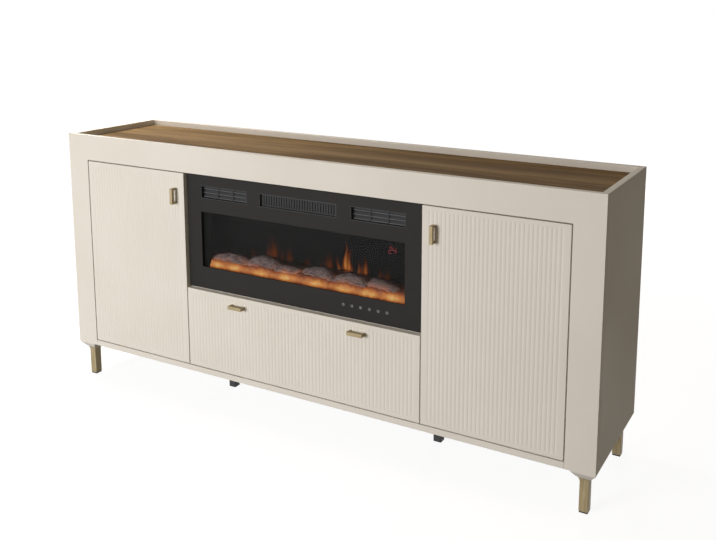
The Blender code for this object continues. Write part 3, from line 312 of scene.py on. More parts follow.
@dataclass(frozen=True)
class BarkPrint(Finish):
    """Cast resin painted as charred bark, with pale ash on the ridges and soot in the cracks."""

    soot: str = "352E2F"

    def dress(self, tree: NodeTree, shader: Node) -> None:
        """Adds ash, soot and a painted glow of the bed's light where the mesh carries it.

        Args:
            tree: The material's node tree.
            shader: Its Principled BSDF.
        """
        ridges = grain(tree, (16.0, 4.5, 4.5), 4.0, 1.2)
        stops = ((0.30, self.soot), (0.45, self.tone), (0.62, self.colour))
        self.tint(tree, shader, ridges, stops)
        self.shine(tree, shader, ridges)
        self.emboss(tree, shader, grain(tree, self.grit, 5.0, 0.8), self.relief)
        # This glow is painted light of the ember bed on the logs' undersides.
        glow = ((0.0, "000000"), (0.35, "3A1B0C"), (0.75, "A8581F"), (1.0, "E89A45"))
        glow_by_heat(tree, shader, glow)


@dataclass(frozen=True)
class LitResin(Finish):
    """Tinted resin lit from within by lamps, as bright as the heat that its mesh carries."""

    stops: tuple[tuple[float, str], ...] = (
        (0.0, "000000"), (0.18, "2A1208"), (0.42, "9A4A18"),
        (0.68, "E08A38"), (0.86, "FFC064"), (1.0, "FFE9B0"),
    )
    clear: bool = False

    def dress(self, tree: NodeTree, shader: Node) -> None:
        """Adds the glow, and fades the surface out where it is cold if it is clear.

        Args:
            tree: The material's node tree.
            shader: Its Principled BSDF.
        """
        super().dress(tree, shader)
        glow_amount = glow_by_heat(tree, shader, self.stops)
        if self.clear:
            limits = {"Value": glow_amount, "From Min": 0.04, "From Max": 0.75}
            fade = add_node(tree, "ShaderNodeMapRange", limits)
            tree.links.new(fade.outputs[0], shader.inputs["Alpha"])


@dataclass(frozen=True)
class Laminate(Finish):
    """Board printed green with copper tracks, as a circuit board is."""

    copper: str = "8A6A35"

    def dress(self, tree: NodeTree, shader: Node) -> None:
        """Adds tracks 1.2 mm wide in blocks over the green.

        Args:
            tree: The material's node tree.
            shader: Its Principled BSDF.
        """
        place = add_node(tree, "ShaderNodeTexCoord").outputs["Object"]
        upright = {"Vector": place, "Rotation": (math.pi / 2, 0.0, 0.0)}
        laid = add_node(tree, "ShaderNodeMapping", upright)
        inputs = {
            "Vector": laid.outputs[0], "Scale": 90.0, "Mortar Size": 0.07, "Mortar Smooth": 0.1,
            "Color1": linear(self.colour), "Color2": linear(self.tone), "Mortar": linear(self.copper),
        }
        bricks = add_node(tree, "ShaderNodeTexBrick", inputs)
        tree.links.new(bricks.outputs["Color"], shader.inputs["Base Color"])
        self.shine(tree, shader, grain(tree, self.patch))
        self.emboss(tree, shader, bricks.outputs["Fac"], self.relief)


def glow_by_heat(tree: NodeTree, shader: Node, stops: Stops) -> NodeSocket:
    """Makes a surface glow by the level that its mesh carries; on the logs this glow is painted light of the
    bed.

    Args:
        tree: The material's node tree.
        shader: Its Principled BSDF.
        stops: Glow colours from dark to bright.

    Returns:
        The heat.
    """
    glow_amount = add_node(tree, "ShaderNodeAttribute", attribute_name=GLOW_ATTRIBUTE).outputs["Fac"]
    ramp = add_node(tree, "ShaderNodeValToRGB", {"Fac": glow_amount}, stops)
    tree.links.new(ramp.outputs["Color"], shader.inputs["Emission Color"])
    return glow_amount


@functools.cache
def dressed(finish: Finish) -> Material:
    """Returns a finish's material, made once."""
    return finish.make()


# Satin lacquer sprayed on MDF: even warm off-white, a soft sheen and a faint orange peel.
CREAM = Finish(
    "satin_lacquer_on_mdf", "E4DDD4", "E0D9CF", (240.0, 240.0, 320.0), 3.0, 0.03, 0.50,
    sockets=(("Specular IOR Level", 0.05),),
)
# Printed walnut paper on melamine board: slow brown bands, growth lines and dark pores.
WALNUT = WoodPrint(
    "printed_walnut_melamine", "896E4B", "6E5638", relief=0.05, roughness=0.50, drift=0.07,
    sockets=(("Specular IOR Level", 0.01),),
)
# Raw hardboard, pressed from fibre: brown, dull and hairy.
HARDBOARD = Finish("raw_hardboard", "9C7F5C", "866A49", 14.0, 1.6, 0.08, 0.85)
# The paper-faced side of the same sheet: flat off-white with a faint linen.
FACED = Finish("paper_faced_hardboard", "D3CABC", "CCC2B3", 90.0, (2.0, 2.0, 1.0), 0.03, 0.72)
# Melamine on chipboard, pressed with a linen texture: pale, dry and slightly ribbed.
DRAWER_BOARD = Finish("linen_melamine", "CFC8BC", "C8C0B3", 120.0, (2.2, 1.2, 1.2), 0.04, 0.62)
# Brass-coloured metal lacquer, brushed: short strokes across the tone and a dull metal shine.
BRASS = Finish(
    "brushed_brass", "B0A07E", "9A8A69", (3.0, 3.0, 46.0), (0.9, 0.9, 26.0), 0.004, 0.42, 0.06, 0.20,
    sockets=(("Specular IOR Level", 0.20),),
)
BRASS_LEVEL = replace(BRASS, name="brushed_brass_level", patch=(46.0, 3.0, 3.0), grit=(26.0, 0.9, 0.9))
# Moulded ABS with a spark-eroded grain: near black with a dull sheen.
BLACK_ABS = Finish("moulded_black_abs", "1D1D1E", "171718", 30.0, 1.1, 0.05, 0.58)
# Zinc-plated pressed steel: cool grey with faint spangles.
ZINC = Finish("zinc_plated_steel", "B7BABD", "9DA1A5", 9.0, 2.0, 0.008, 0.34, 0.08, 1.0)
# Powder-coated steel in charcoal: matt with a sanded feel.
CHARCOAL = Finish(
    "powder_coated_charcoal", "2A2827", "252322", 150.0, 1.3, 0.04, 0.62,
    sockets=(("Specular IOR Level", 0.12),),
)
# The same coat on the louvres and slats, a shade lighter, and painted pale on the louvres' lips as a painted
# highlight where their front edges catch the light.
GREY_COAT = replace(CHARCOAL, name="powder_coated_grey", colour="3A3A3B", tone="353536")
HIGHLIGHT_LIP_COAT = replace(CHARCOAL, name="powder_coated_lip", colour="66676A", tone="5C5D60")
# Folded sheet steel with black paint: thin coat over rolling marks.
BLACK_SHEET = Finish("black_painted_sheet", "1C1C1D", "242425", (160.0, 40.0, 12.0), 3.0, 0.01, 0.52)
# Toughened grey-tinted pane: a dark see-through skin with the faint sharp gloss of coated fire glass.
TINTED_GLASS = Finish(
    "toughened_grey_glass", "121312", "0F100F", 120.0, 90.0, 0.002, 0.04, 0.02,
    sockets=(("Alpha", 0.20), ("Specular IOR Level", 0.32)),
)
# Back-projection film on acrylic: almost black with a smooth skin.
DARK_FILM = Finish(
    "dark_projection_film", "0C0C0C", "090909", (110.0, 110.0, 60.0), 20.0, 0.004, 0.60,
    sockets=(("Specular IOR Level", 0.05),),
)
# Ember bed of cast orange resin over lamps, with soot rubbed on the lumps.
EMBER = LitResin(
    "lit_ember_resin", "7A3E1C", "3A2015", 9.0, 2.0, 0.25, 0.55,
    sockets=(("Emission Strength", 0.80),),
)
# Cast resin logs painted grey: chalky ash over dark cracks, with a painted glow of the bed's light on their
# undersides.
BARK = BarkPrint(
    "cast_resin_bark", "A09190", "776A6B", grit=(7.0, 2.2, 2.2), relief=0.9, roughness=0.86,
    sockets=(("Emission Strength", 1.0),),
)
# The moving flame picture: thin light on the dark film.
FLAME = LitResin(
    "projected_flame", "0A0605", "060403", (14.0, 14.0, 30.0), 9.0, 0.0, 0.60,
    sockets=(("Emission Strength", 0.75), ("Specular IOR Level", 0.0)), clear=True,
)
# Light-emitting segments behind a red lens.
RED_LAMP = Finish(
    "red_led_lens", "5A1216", "4A0E12", 4.0, 2.0, 0.01, 0.30,
    sockets=(("Emission Color", linear("E03038")), ("Emission Strength", 0.40)),
)
# Screen-printed grey ink of the touch marks.
GREY_INK = Finish("screen_printed_ink", "A3A3A2", "989897", 5.0, 0.8, 0.01, 0.55)
# Circuit board: green solder mask over copper tracks.
CIRCUIT = Laminate("green_solder_mask", "17351F", "122B19", relief=0.04, roughness=0.42)
# Pressed aluminium fins of the heater, darkened as painted shade for their place in the dark behind the
# grille.
FINS = Finish(
    "aluminium_fins", "8C8E90", "77797C", (12.0, 12.0, 30.0), (1.4, 1.4, 9.0), 0.01, 0.60, 0.06, 1.0,
)
# Aluminium foil of the flicker vanes: bright, with fine creases.
FOIL = Finish("creased_foil", "D4D6D8", "C3C6C9", (20.0, 8.0, 8.0), (5.0, 3.0, 3.0), 0.20, 0.20, 0.06, 1.0)


# Meshes and pieces


def face_out(bm: BMesh) -> None:
    """Turns the faces of a mesh outwards."""
    bmesh.ops.recalc_face_normals(bm, faces=bm.faces[:])


def new_verts(geometry: Iterable) -> list[BMVert]:
    """Returns the vertices among what an operator made."""
    return [item for item in geometry if isinstance(item, BMVert)]


def open_edges(bm: BMesh) -> list[BMEdge]:
    """Returns the edges at the open rims of a mesh."""
    return [edge for edge in bm.edges if edge.is_boundary]


def edge_runs(edge: BMEdge, axis: Axis) -> bool:
    """Says if an edge runs along an axis."""
    line = edge.verts[0].co - edge.verts[1].co
    return abs(line[axis]) > 0.99 * line.length


def to_mesh(bm: BMesh, name: str) -> Mesh:
    """Turns a working mesh into one that an object can carry.

    Args:
        bm: The working mesh; used up.
        name: The new mesh's name.

    Returns:
        The new mesh.
    """
    mesh = bpy.data.meshes.new(name)
    bm.to_mesh(mesh)
    bm.free()
    return mesh


def put_in_scene(name: str, data: ID) -> Object:
    """Makes an object and links it to the scene.

    Args:
        name: The object's name.
        data: Its mesh, lamp or lens.

    Returns:
        The object.
    """
    made = bpy.data.objects.new(name, data)
    bpy.context.scene.collection.objects.link(made)
    return made


def box(bm: BMesh, x: Span, y: Span, z: Span, radius: float = 0.0, segments: int = 3) -> None:
    """Adds a box, with rounded edges where a radius is given.

    Args:
        bm: The mesh to add to.
        x: Low and high X.
        y: Low and high Y.
        z: Low and high Z.
        radius: Radius of all edges.
        segments: Steps round an edge.
    """
    verts = bmesh.ops.create_cube(bm, size=1.0)["verts"]
    spans = (x, y, z)
    bmesh.ops.scale(bm, vec=[high - low for low, high in spans], verts=verts)
    bmesh.ops.translate(bm, vec=[(low + high) / 2 for low, high in spans], verts=verts)
    if radius > 0.0:
        chosen = set(verts)
        edges = [edge for edge in bm.edges if edge.verts[0] in chosen and edge.verts[1] in chosen]
        round_edges(bm, edges, radius, segments)


def round_edges(bm: BMesh, edges: Iterable, radius: float, segments: int = 3) -> None:
    """Rounds edges of a mesh.

    Args:
        bm: The mesh.
        edges: The edges to round.
        radius: Their new radius.
        segments: Steps round an edge.
    """
    bmesh.ops.bevel(
        bm, geom=list(edges), offset=radius, offset_type="OFFSET", segments=segments,
        profile=0.5, affect="EDGES", clamp_overlap=True, material=-1,
    )


def round_corners(bm: BMesh, radius: float, segments: int = 3) -> None:
    """Turns a mesh's faces outwards and rounds every edge between faces that turn enough.

    Args:
        bm: The mesh.
        radius: The edges' new radius.
        segments: Steps round an edge.
    """
    face_out(bm)
    edges = [edge for edge in bm.edges if edge.is_manifold and edge.calc_face_angle() > ROUNDED_TURN]
    round_edges(bm, edges, radius, segments)


def prism(bm: BMesh, outline: Sequence[Pair], axis: Axis, span: Span) -> None:
    """Adds a closed prism: an outline square to an axis, swept along a span of it.

    Args:
        bm: The mesh to add to.
        outline: Corners in the other two coordinates, in their order.
        axis: The axis of the sweep.
        span: Where the sweep starts and ends.
    """
    first, second = [index for index in range(3) if index != axis]
    ring = []
    for across, up in outline:
        point = [0.0, 0.0, 0.0]
        point[axis], point[first], point[second] = span[0], across, up
        ring.append(bm.verts.new(point))
    face = bm.faces.new(ring)
    made = bmesh.ops.extrude_face_region(bm, geom=[face])["geom"]
    step = Vector()
    step[axis] = span[1] - span[0]
    bmesh.ops.translate(bm, vec=step, verts=new_verts(made))


def along(axis: Axis, centre: Pair, place: float) -> Matrix:
    """Returns the matrix that lays the Z axis along another one through a centre.

    Args:
        axis: The axis wanted.
        centre: The axis line's place in the other two coordinates.
        place: How far along the axis the origin goes.

    Returns:
        The placing matrix.
    """
    middle = list(centre)
    middle.insert(axis, place)
    turns = {
        Axis.X: Matrix.Rotation(math.pi / 2, 4, "Y"),
        Axis.Y: Matrix.Rotation(-math.pi / 2, 4, "X"),
        Axis.Z: Matrix.Identity(4),
    }
    return Matrix.Translation(middle) @ turns[axis]


def rod(bm: BMesh, centre: Pair, radius: float, axis: Axis, span: Span, segments: int) -> None:
    """Adds a round bar along an axis.

    Args:
        bm: The mesh to add to.
        centre: The bar's place in the other two coordinates.
        radius: The bar's radius.
        axis: The bar's direction.
        span: Where it starts and ends.
        segments: Sides of the bar.
    """
    bmesh.ops.create_cone(
        bm, cap_ends=True, cap_tris=False, segments=segments, radius1=radius, radius2=radius,
        depth=span[1] - span[0], matrix=along(axis, centre, middle(span)),
    )


def turned(
    bm: BMesh, profile: Sequence[Pair], centre: Pair, axis: Axis, place: float, segments: int,
) -> None:
    """Adds a turned shape.

    Args:
        bm: The mesh to add to.
        profile: Radius and height of each point, from one end on the axis to the other.
        centre: The axis line's place in the other two coordinates.
        axis: The direction of the heights.
        place: Where height zero lies; a height below it goes towards the front, left or floor.
        segments: Steps round the axis.
    """
    own = bmesh.new()
    line = [own.verts.new((radius, 0.0, height)) for radius, height in profile]
    edges = [own.edges.new(pair) for pair in zip(line, line[1:])]
    bmesh.ops.spin(
        own, geom=line + edges, cent=(0.0, 0.0, 0.0), axis=(0.0, 0.0, 1.0), dvec=(0.0, 0.0, 0.0),
        angle=math.tau, steps=segments, use_merge=True, use_duplicate=False,
    )
    bmesh.ops.remove_doubles(own, verts=own.verts[:], dist=1e-6)
    bmesh.ops.transform(own, matrix=along(axis, centre, place), verts=own.verts[:])
    absorb(bm, own)


def absorb(bm: BMesh, other: BMesh) -> None:
    """Moves the contents of one mesh into another, with its faces turned outwards.

    Args:
        bm: The mesh to add to.
        other: The mesh to take in; used up.
    """
    face_out(other)
    carrier = to_mesh(other, "carrier")
    bm.from_mesh(carrier)
    bpy.data.meshes.remove(carrier)


def pierced_plate(
    x: Span, y: Span, z: Span, openings: Sequence[tuple[Span, Span]], radius: float = 0.0,
) -> BMesh:
    """Makes a plate square to Y with rectangular openings through it.

    Args:
        x: Low and high X.
        y: Front and back Y.
        z: Low and high Z.
        openings: X span and Z span of each opening.
        radius: Radius of the plate's edges and of the openings'.

    Returns:
        The plate as a new mesh.
    """
    bm = bmesh.new()
    corners = ((x[0], z[0]), (x[1], z[0]), (x[1], z[1]), (x[0], z[1]))
    bm.faces.new([bm.verts.new((across, y[0], up)) for across, up in corners])
    cuts = sorted({(Axis.X, level) for spans in openings for level in spans[0]}
                  | {(Axis.Z, level) for spans in openings for level in spans[1]})
    for axis, level in cuts:
        place, direction = Vector(), Vector()
        place[axis], direction[axis] = level, 1.0
        geometry = bm.verts[:] + bm.edges[:] + bm.faces[:]
        bmesh.ops.bisect_plane(bm, geom=geometry, dist=1e-7, plane_co=place, plane_no=direction)
    holes = []
    for face in bm.faces:
        middle = face.calc_center_median()
        if any(a[0] < middle.x < a[1] and b[0] < middle.z < b[1] for a, b in openings):
            holes.append(face)
    bmesh.ops.delete(bm, geom=holes, context="FACES")
    made = bmesh.ops.extrude_face_region(bm, geom=bm.faces[:])["geom"]
    bmesh.ops.translate(bm, vec=(0.0, y[1] - y[0], 0.0), verts=new_verts(made))
    bmesh.ops.dissolve_limit(
        bm, angle_limit=math.radians(1.0), verts=bm.verts[:], edges=bm.edges[:],
        use_dissolve_boundaries=False,
    )
    face_out(bm)
    if radius > 0.0:
        round_corners(bm, radius, 2)
    return bm


def stacked_square(centre: Pair, sections: Sequence[Pair], corner: float) -> BMesh:
    """Makes an upright square form whose width changes with its height.

    Args:
        centre: X and Y of its middle.
        sections: Height and half width of each level, from the bottom up.
        corner: Radius of the four upright corners.

    Returns:
        The form as a new mesh.
    """
    bm = bmesh.new()
    low, half = sections[0]
    verts = bmesh.ops.create_grid(bm, x_segments=1, y_segments=1, size=half)["verts"]
    bmesh.ops.translate(bm, vec=(centre[0], centre[1], low), verts=verts)
    bmesh.ops.bevel(
        bm, geom=verts, offset=corner, offset_type="OFFSET", segments=3, profile=0.5, affect="VERTICES",
    )
    face = bm.faces[:][0]
    for (height, width), (below, narrow) in zip(sections[1:], sections):
        made = bmesh.ops.extrude_face_region(bm, geom=[face])["geom"]
        face = next(item for item in made if isinstance(item, BMFace))
        for vert in face.verts:
            outward = (math.copysign(1.0, vert.co.x - centre[0]), math.copysign(1.0, vert.co.y - centre[1]))
            step = width - narrow
            vert.co += Vector((step * outward[0], step * outward[1], height - below))
    face_out(bm)
    return bm


def screw_head(bm: BMesh, centre: Pair, radius: float, axis: Axis, place: float, outward: int) -> None:
    """Adds a domed screw head with a round driver recess.

    Args:
        bm: The mesh to add to.
        centre: The screw's place in the other two coordinates.
        radius: The head's radius.
        axis: The screw's direction.
        place: Where the head's underside lies along the axis.
        outward: 1 if the head stands up along the axis, -1 if against it.
    """
    shares = (
        (0.0, 0.0), (1.0, 0.0), (1.0, 0.16), (0.86, 0.34),
        (0.60, 0.44), (0.42, 0.46), (0.30, 0.16), (0.0, 0.12),
    )
    profile = [(radius * across, outward * radius * up) for across, up in shares]
    turned(bm, profile, centre, axis, place, 16)


def carve(piece: Object, cuts: BMesh) -> None:
    """Cuts the shapes of a mesh out of a piece for good.

    Args:
        piece: The piece to cut.
        cuts: The shapes; the mesh is used up.
    """
    face_out(cuts)
    mesh = to_mesh(cuts, "cuts")
    tool = put_in_scene("cuts", mesh)
    modifier = piece.modifiers.new("carve", "BOOLEAN")
    modifier.operation = "DIFFERENCE"
    modifier.solver = "EXACT"
    modifier.object = tool
    bake_modifiers(piece)
    bpy.data.objects.remove(tool, do_unlink=True)
    bpy.data.meshes.remove(mesh)


def bake_modifiers(piece: Object) -> None:
    """Puts a piece's modifiers into its mesh and removes them.

    Args:
        piece: The piece.
    """
    bpy.context.view_layer.update()
    graph = bpy.context.evaluated_depsgraph_get()
    mesh = bpy.data.meshes.new_from_object(piece.evaluated_get(graph))
    piece.modifiers.clear()
    old = piece.data
    piece.data = mesh
    bpy.data.meshes.remove(old)


def add_piece(
    name: str,
    bm: BMesh,
    finishes: Finish | Sequence[Finish],
    stands_for: Sequence[str] = (),
    body: str = "cabinet",
    cuts: BMesh | None = None,
    soft: bool = False,
) -> Object:
    """Turns a mesh into a finished piece that rides on a body.

    Args:
        name: The piece's name.
        bm: Its mesh, in place; used up.
        finishes: One finish, or one for each material index of the faces.
        stands_for: CAD nodes that it replaces.
        body: The CAD body it moves with.
        cuts: Shapes to cut out of it.
        soft: True for a rough cast form, which is shaded smooth all over.

    Returns:
        The piece.
    """
    face_out(bm)
    mesh = to_mesh(bm, name)
    for finish in [finishes] if isinstance(finishes, Finish) else finishes:
        mesh.materials.append(dressed(finish))
    piece = put_in_scene(name, mesh)
    if cuts is not None:
        carve(piece, cuts)
    piece.data.shade_smooth()
    if not soft:
        piece.data.set_sharp_from_angle(angle=SHARP_TURN)
        weighted = piece.modifiers.new("even_shading", "WEIGHTED_NORMAL")
        weighted.keep_sharp = True
    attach(piece, body)
    if stands_for:
        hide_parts(*stands_for)
    LOG.info("%s: %d faces on %s", name, len(piece.data.polygons), body)
    return piece


def refinish(finish: Finish, *nodes: str) -> None:
    """Gives CAD nodes that stay visible a finish.

    Args:
        finish: The new finish.
        nodes: The nodes' names.
    """
    for name in nodes:
        node = frame["nodes"][name]
        if not node.material_slots:
            node.data.materials.append(None)
        for place in node.material_slots:
            place.material = dressed(finish)
        LOG.info("%s: %s", name, finish.name)


def box_of(name: str) -> tuple[Span, Span, Span]:
    """Returns a CAD node's X, Y and Z spans."""
    low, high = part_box(name)
    return (low.x, high.x), (low.y, high.y), (low.z, high.z)


def middle(span: Span) -> float:
    """Returns the middle of a span."""
    return (span[0] + span[1]) / 2


def ordered(one: float, other: float) -> Span:
    """Returns two places as a span, whichever is lower."""
    return min(one, other), max(one, other)


def inset(span: Span, by: float) -> Span:
    """Returns a span with both ends drawn in."""
    return span[0] + by, span[1] - by


def shifted(span: Span, by: float) -> Span:
    """Returns a span moved along its axis."""
    return span[0] + by, span[1] + by


def around(centre: float, half: float) -> Span:
    """Returns the span that reaches equally far to both sides of a place."""
    return centre - half, centre + half


def share_of(span: Span, share: float) -> float:
    """Returns the place at a share of a span."""
    return span[0] + (span[1] - span[0]) * share


def add_board(
    node: str, name: str, finish: Finish, ease: float, body: str = "cabinet", segments: int = 3,
) -> None:
    """Adds a board of a CAD node's own box with rounded edges.

    Args:
        node: The CAD node that it replaces.
        name: The board's name.
        finish: Its finish.
        ease: Radius of its edges.
        body: The CAD body it moves with.
        segments: Steps round an edge.
    """
    bm = bmesh.new()
    box(bm, *box_of(node), ease, segments)
    add_piece(name, bm, finish, (node,), body)


# Cabinet


@dataclass
class Carcass:
    """The cream boards, the front frame in one skin, the shelves on pins and the thin back."""

    ease: float = 1.0 * MM
    board: float = 18.0 * MM
    pin_radius: float = 2.5 * MM
    pin_reach: float = 9.0 * MM
    pin_inset: float = 45.0 * MM
    shelf_play: float = 0.7 * MM
    cable_hole: float = 30.0 * MM
    cable_lift: float = 78.0 * MM
    service: Pair = (0.560, 0.240)
    nail_radius: float = 2.4 * MM
    nail_rise: float = 0.5 * MM
    nail_rim: float = 0.3
    nail_pitch: float = 0.140

    def build(self) -> None:
        """Builds every piece of the carcass."""
        self.front_frame()
        self.boards()
        self.shelves()
        self.back()

    def front_frame(self) -> None:
        """The two stiles and the top rail as one lacquered skin without a seam."""
        left, depth, upright = box_of("front_stile_left")
        right = box_of("front_stile_right")[0]
        rail = box_of("front_top_rail")[2]
        outline = [
            (left[0], upright[0]), (left[1], upright[0]), (left[1], rail[0]), (right[0], rail[0]),
            (right[0], upright[0]), (right[1], upright[0]), (right[1], upright[1]), (left[0], upright[1]),
        ]
        bm = bmesh.new()
        prism(bm, outline, Axis.Y, depth)
        round_corners(bm, self.ease)
        nodes = ("front_stile_left", "front_stile_right", "front_top_rail")
        add_piece("front_frame", bm, CREAM, nodes)

    def boards(self) -> None:
        """The plain boards with rounded edges, and the shaped ones as the CAD has them."""
        for node in ("side_panel_left", "side_panel_right", "back_top_rail", "fire_shelf"):
            add_board(node, f"{node}_board", CREAM, self.ease)
        add_board("top_panel", "top_panel_board", WALNUT, self.ease)
        refinish(CREAM, "bottom_panel", "partition_left", "partition_right")

    def shelves(self) -> None:
        """One shelf in each side compartment and the four steel pins that carry it."""
        for side in Side:
            node = f"shelf_{side.word}"
            x, y, z = box_of(node)
            low = z[1] - self.board
            bm = bmesh.new()
            box(bm, inset(x, self.shelf_play), y, (low, z[1]), self.ease)
            add_piece(f"shelf_board_{side.word}", bm, CREAM, (node,))
            bm = bmesh.new()
            height = low - self.pin_radius
            for place in inset(y, self.pin_inset):
                for span in ((x[0], x[0] + self.pin_reach), (x[1] - self.pin_reach, x[1])):
                    rod(bm, (place, height), self.pin_radius, Axis.X, span, 16)
            add_piece(f"shelf_pins_{side.word}", bm, ZINC)

    def back(self) -> None:
        """The hardboard back: paper-faced inside, raw outside, with its openings and nails."""
        x, y, z = box_of("back_panel")
        outside = y[1] - self.nail_rise
        bm = bmesh.new()
        box(bm, x, (y[0], outside), z)
        for face in bm.faces:
            face.material_index = 1 if face.normal.y < -0.5 else 0
        through = inset(y, -self.board)
        rail_low = box_of("back_top_rail")[2][0]
        service_z = middle((box_of("fire_shelf")[2][1], rail_low))
        cuts = bmesh.new()
        width, height = self.service
        box(cuts, around(0.0, width / 2), through, around(service_z, height / 2))
        for side in Side:
            shelf_x, _, shelf_z = box_of(f"shelf_{side.word}")
            spot = (middle(shelf_x), shelf_z[1] + self.cable_lift)
            rod(cuts, spot, self.cable_hole, Axis.Y, through, 48)
        add_piece("back_sheet", bm, (HARDBOARD, FACED), ("back_panel",), cuts=cuts)
        self.nails(x, z, outside)

    def nails(self, x: Span, z: Span, outside: float) -> None:
        """Adds the nails along the bottom, the sides and the partitions.

        Args:
            x: Low and high X of the back.
            z: Low and high Z of the back.
            outside: Y of its outer face.
        """
        inner = inset(x, self.board / 2)
        columns = int((inner[1] - inner[0]) / self.nail_pitch)
        step = (inner[1] - inner[0]) / columns
        low = z[0] + self.board / 2
        spots = [(inner[0] + step * index, low) for index in range(columns + 1)]
        rows = int((z[1] - z[0]) / self.nail_pitch)
        rise = (z[1] - z[0] - self.board) / rows
        partition = middle(box_of("partition_right")[0])
        for across in (inner[0], -partition, partition, inner[1]):
            spots += [(across, low + rise * index) for index in range(1, rows)]
        rim = self.nail_rim * self.nail_rise
        head = [(0.0, -rim), (self.nail_radius, -rim), (self.nail_radius, rim), (0.0, self.nail_rise)]
        bm = bmesh.new()
        for spot in spots:
            turned(bm, head, spot, Axis.Y, outside, 12)
        add_piece("back_nails", bm, ZINC)


@dataclass
class Feet:
    """Four brass legs under cream flared collars, on dark glides, and two black feet under the middle."""

    stem: float = 12.5 * MM
    flare: float = 20.0 * MM
    bend: float = 25.0 * MM
    splay: float = math.radians(40.0)
    plate: float = 3.0 * MM
    lip: float = 0.4 * MM
    corner: float = 2.0 * MM
    foot_ease: float = 0.6 * MM
    top_ease: float = 0.5 * MM
    glide_ease: float = 0.8 * MM
    steps: int = 10
    foot: float = 12.5 * MM

    def build(self) -> None:
        """Builds the legs, glides and feet."""
        for row in Row:
            for side in Side:
                self.leg(f"{row.value}_{side.word}")
        for side in Side:
            node = f"centre_foot_{side.word}"
            x, y, z = box_of(node)
            half = (x[1] - x[0]) / 2
            shoulder = z[1] - self.plate - (half - self.foot)
            sections = [(z[0], self.foot), (shoulder, self.foot), (z[1] - self.plate, half), (z[1], half)]
            bm = stacked_square((middle(x), middle(y)), sections, self.corner)
            add_piece(f"{node}_moulding", bm, BLACK_ABS, (node,))

    def leg(self, place: str) -> None:
        """Builds one leg and its glide.

        Args:
            place: The row and side, as the CAD node's name ends.
        """
        x, y, z = box_of(f"leg_{place}")
        reach = self.stem + self.flare
        straight = (self.flare - self.bend * (1.0 - math.cos(self.splay))) / math.tan(self.splay)
        low = z[1] - self.plate - straight - self.bend * math.sin(self.splay)
        sections = [(z[0], self.stem - self.foot_ease), (z[0] + self.foot_ease, self.stem)]
        for step in range(self.steps + 1):
            angle = self.splay * step / self.steps
            half = self.stem + self.bend * (1.0 - math.cos(angle))
            sections.append((low + self.bend * math.sin(angle), half))
        bm = stacked_square((middle(x), middle(y)), sections, self.corner)
        add_piece(f"flared_leg_{place}", bm, BRASS, (f"leg_{place}",))
        height, half = sections[-1]
        collar = [
            (height, half), (height, half + self.lip), (z[1] - self.plate, reach),
            (z[1] - self.top_ease, reach), (z[1], reach - self.top_ease),
        ]
        bm = stacked_square((middle(x), middle(y)), collar, self.corner)
        add_piece(f"leg_collar_{place}", bm, CREAM)
        add_board(f"glide_{place}", f"glide_pad_{place}", BLACK_ABS, self.glide_ease)


# Fronts, pulls and hinges


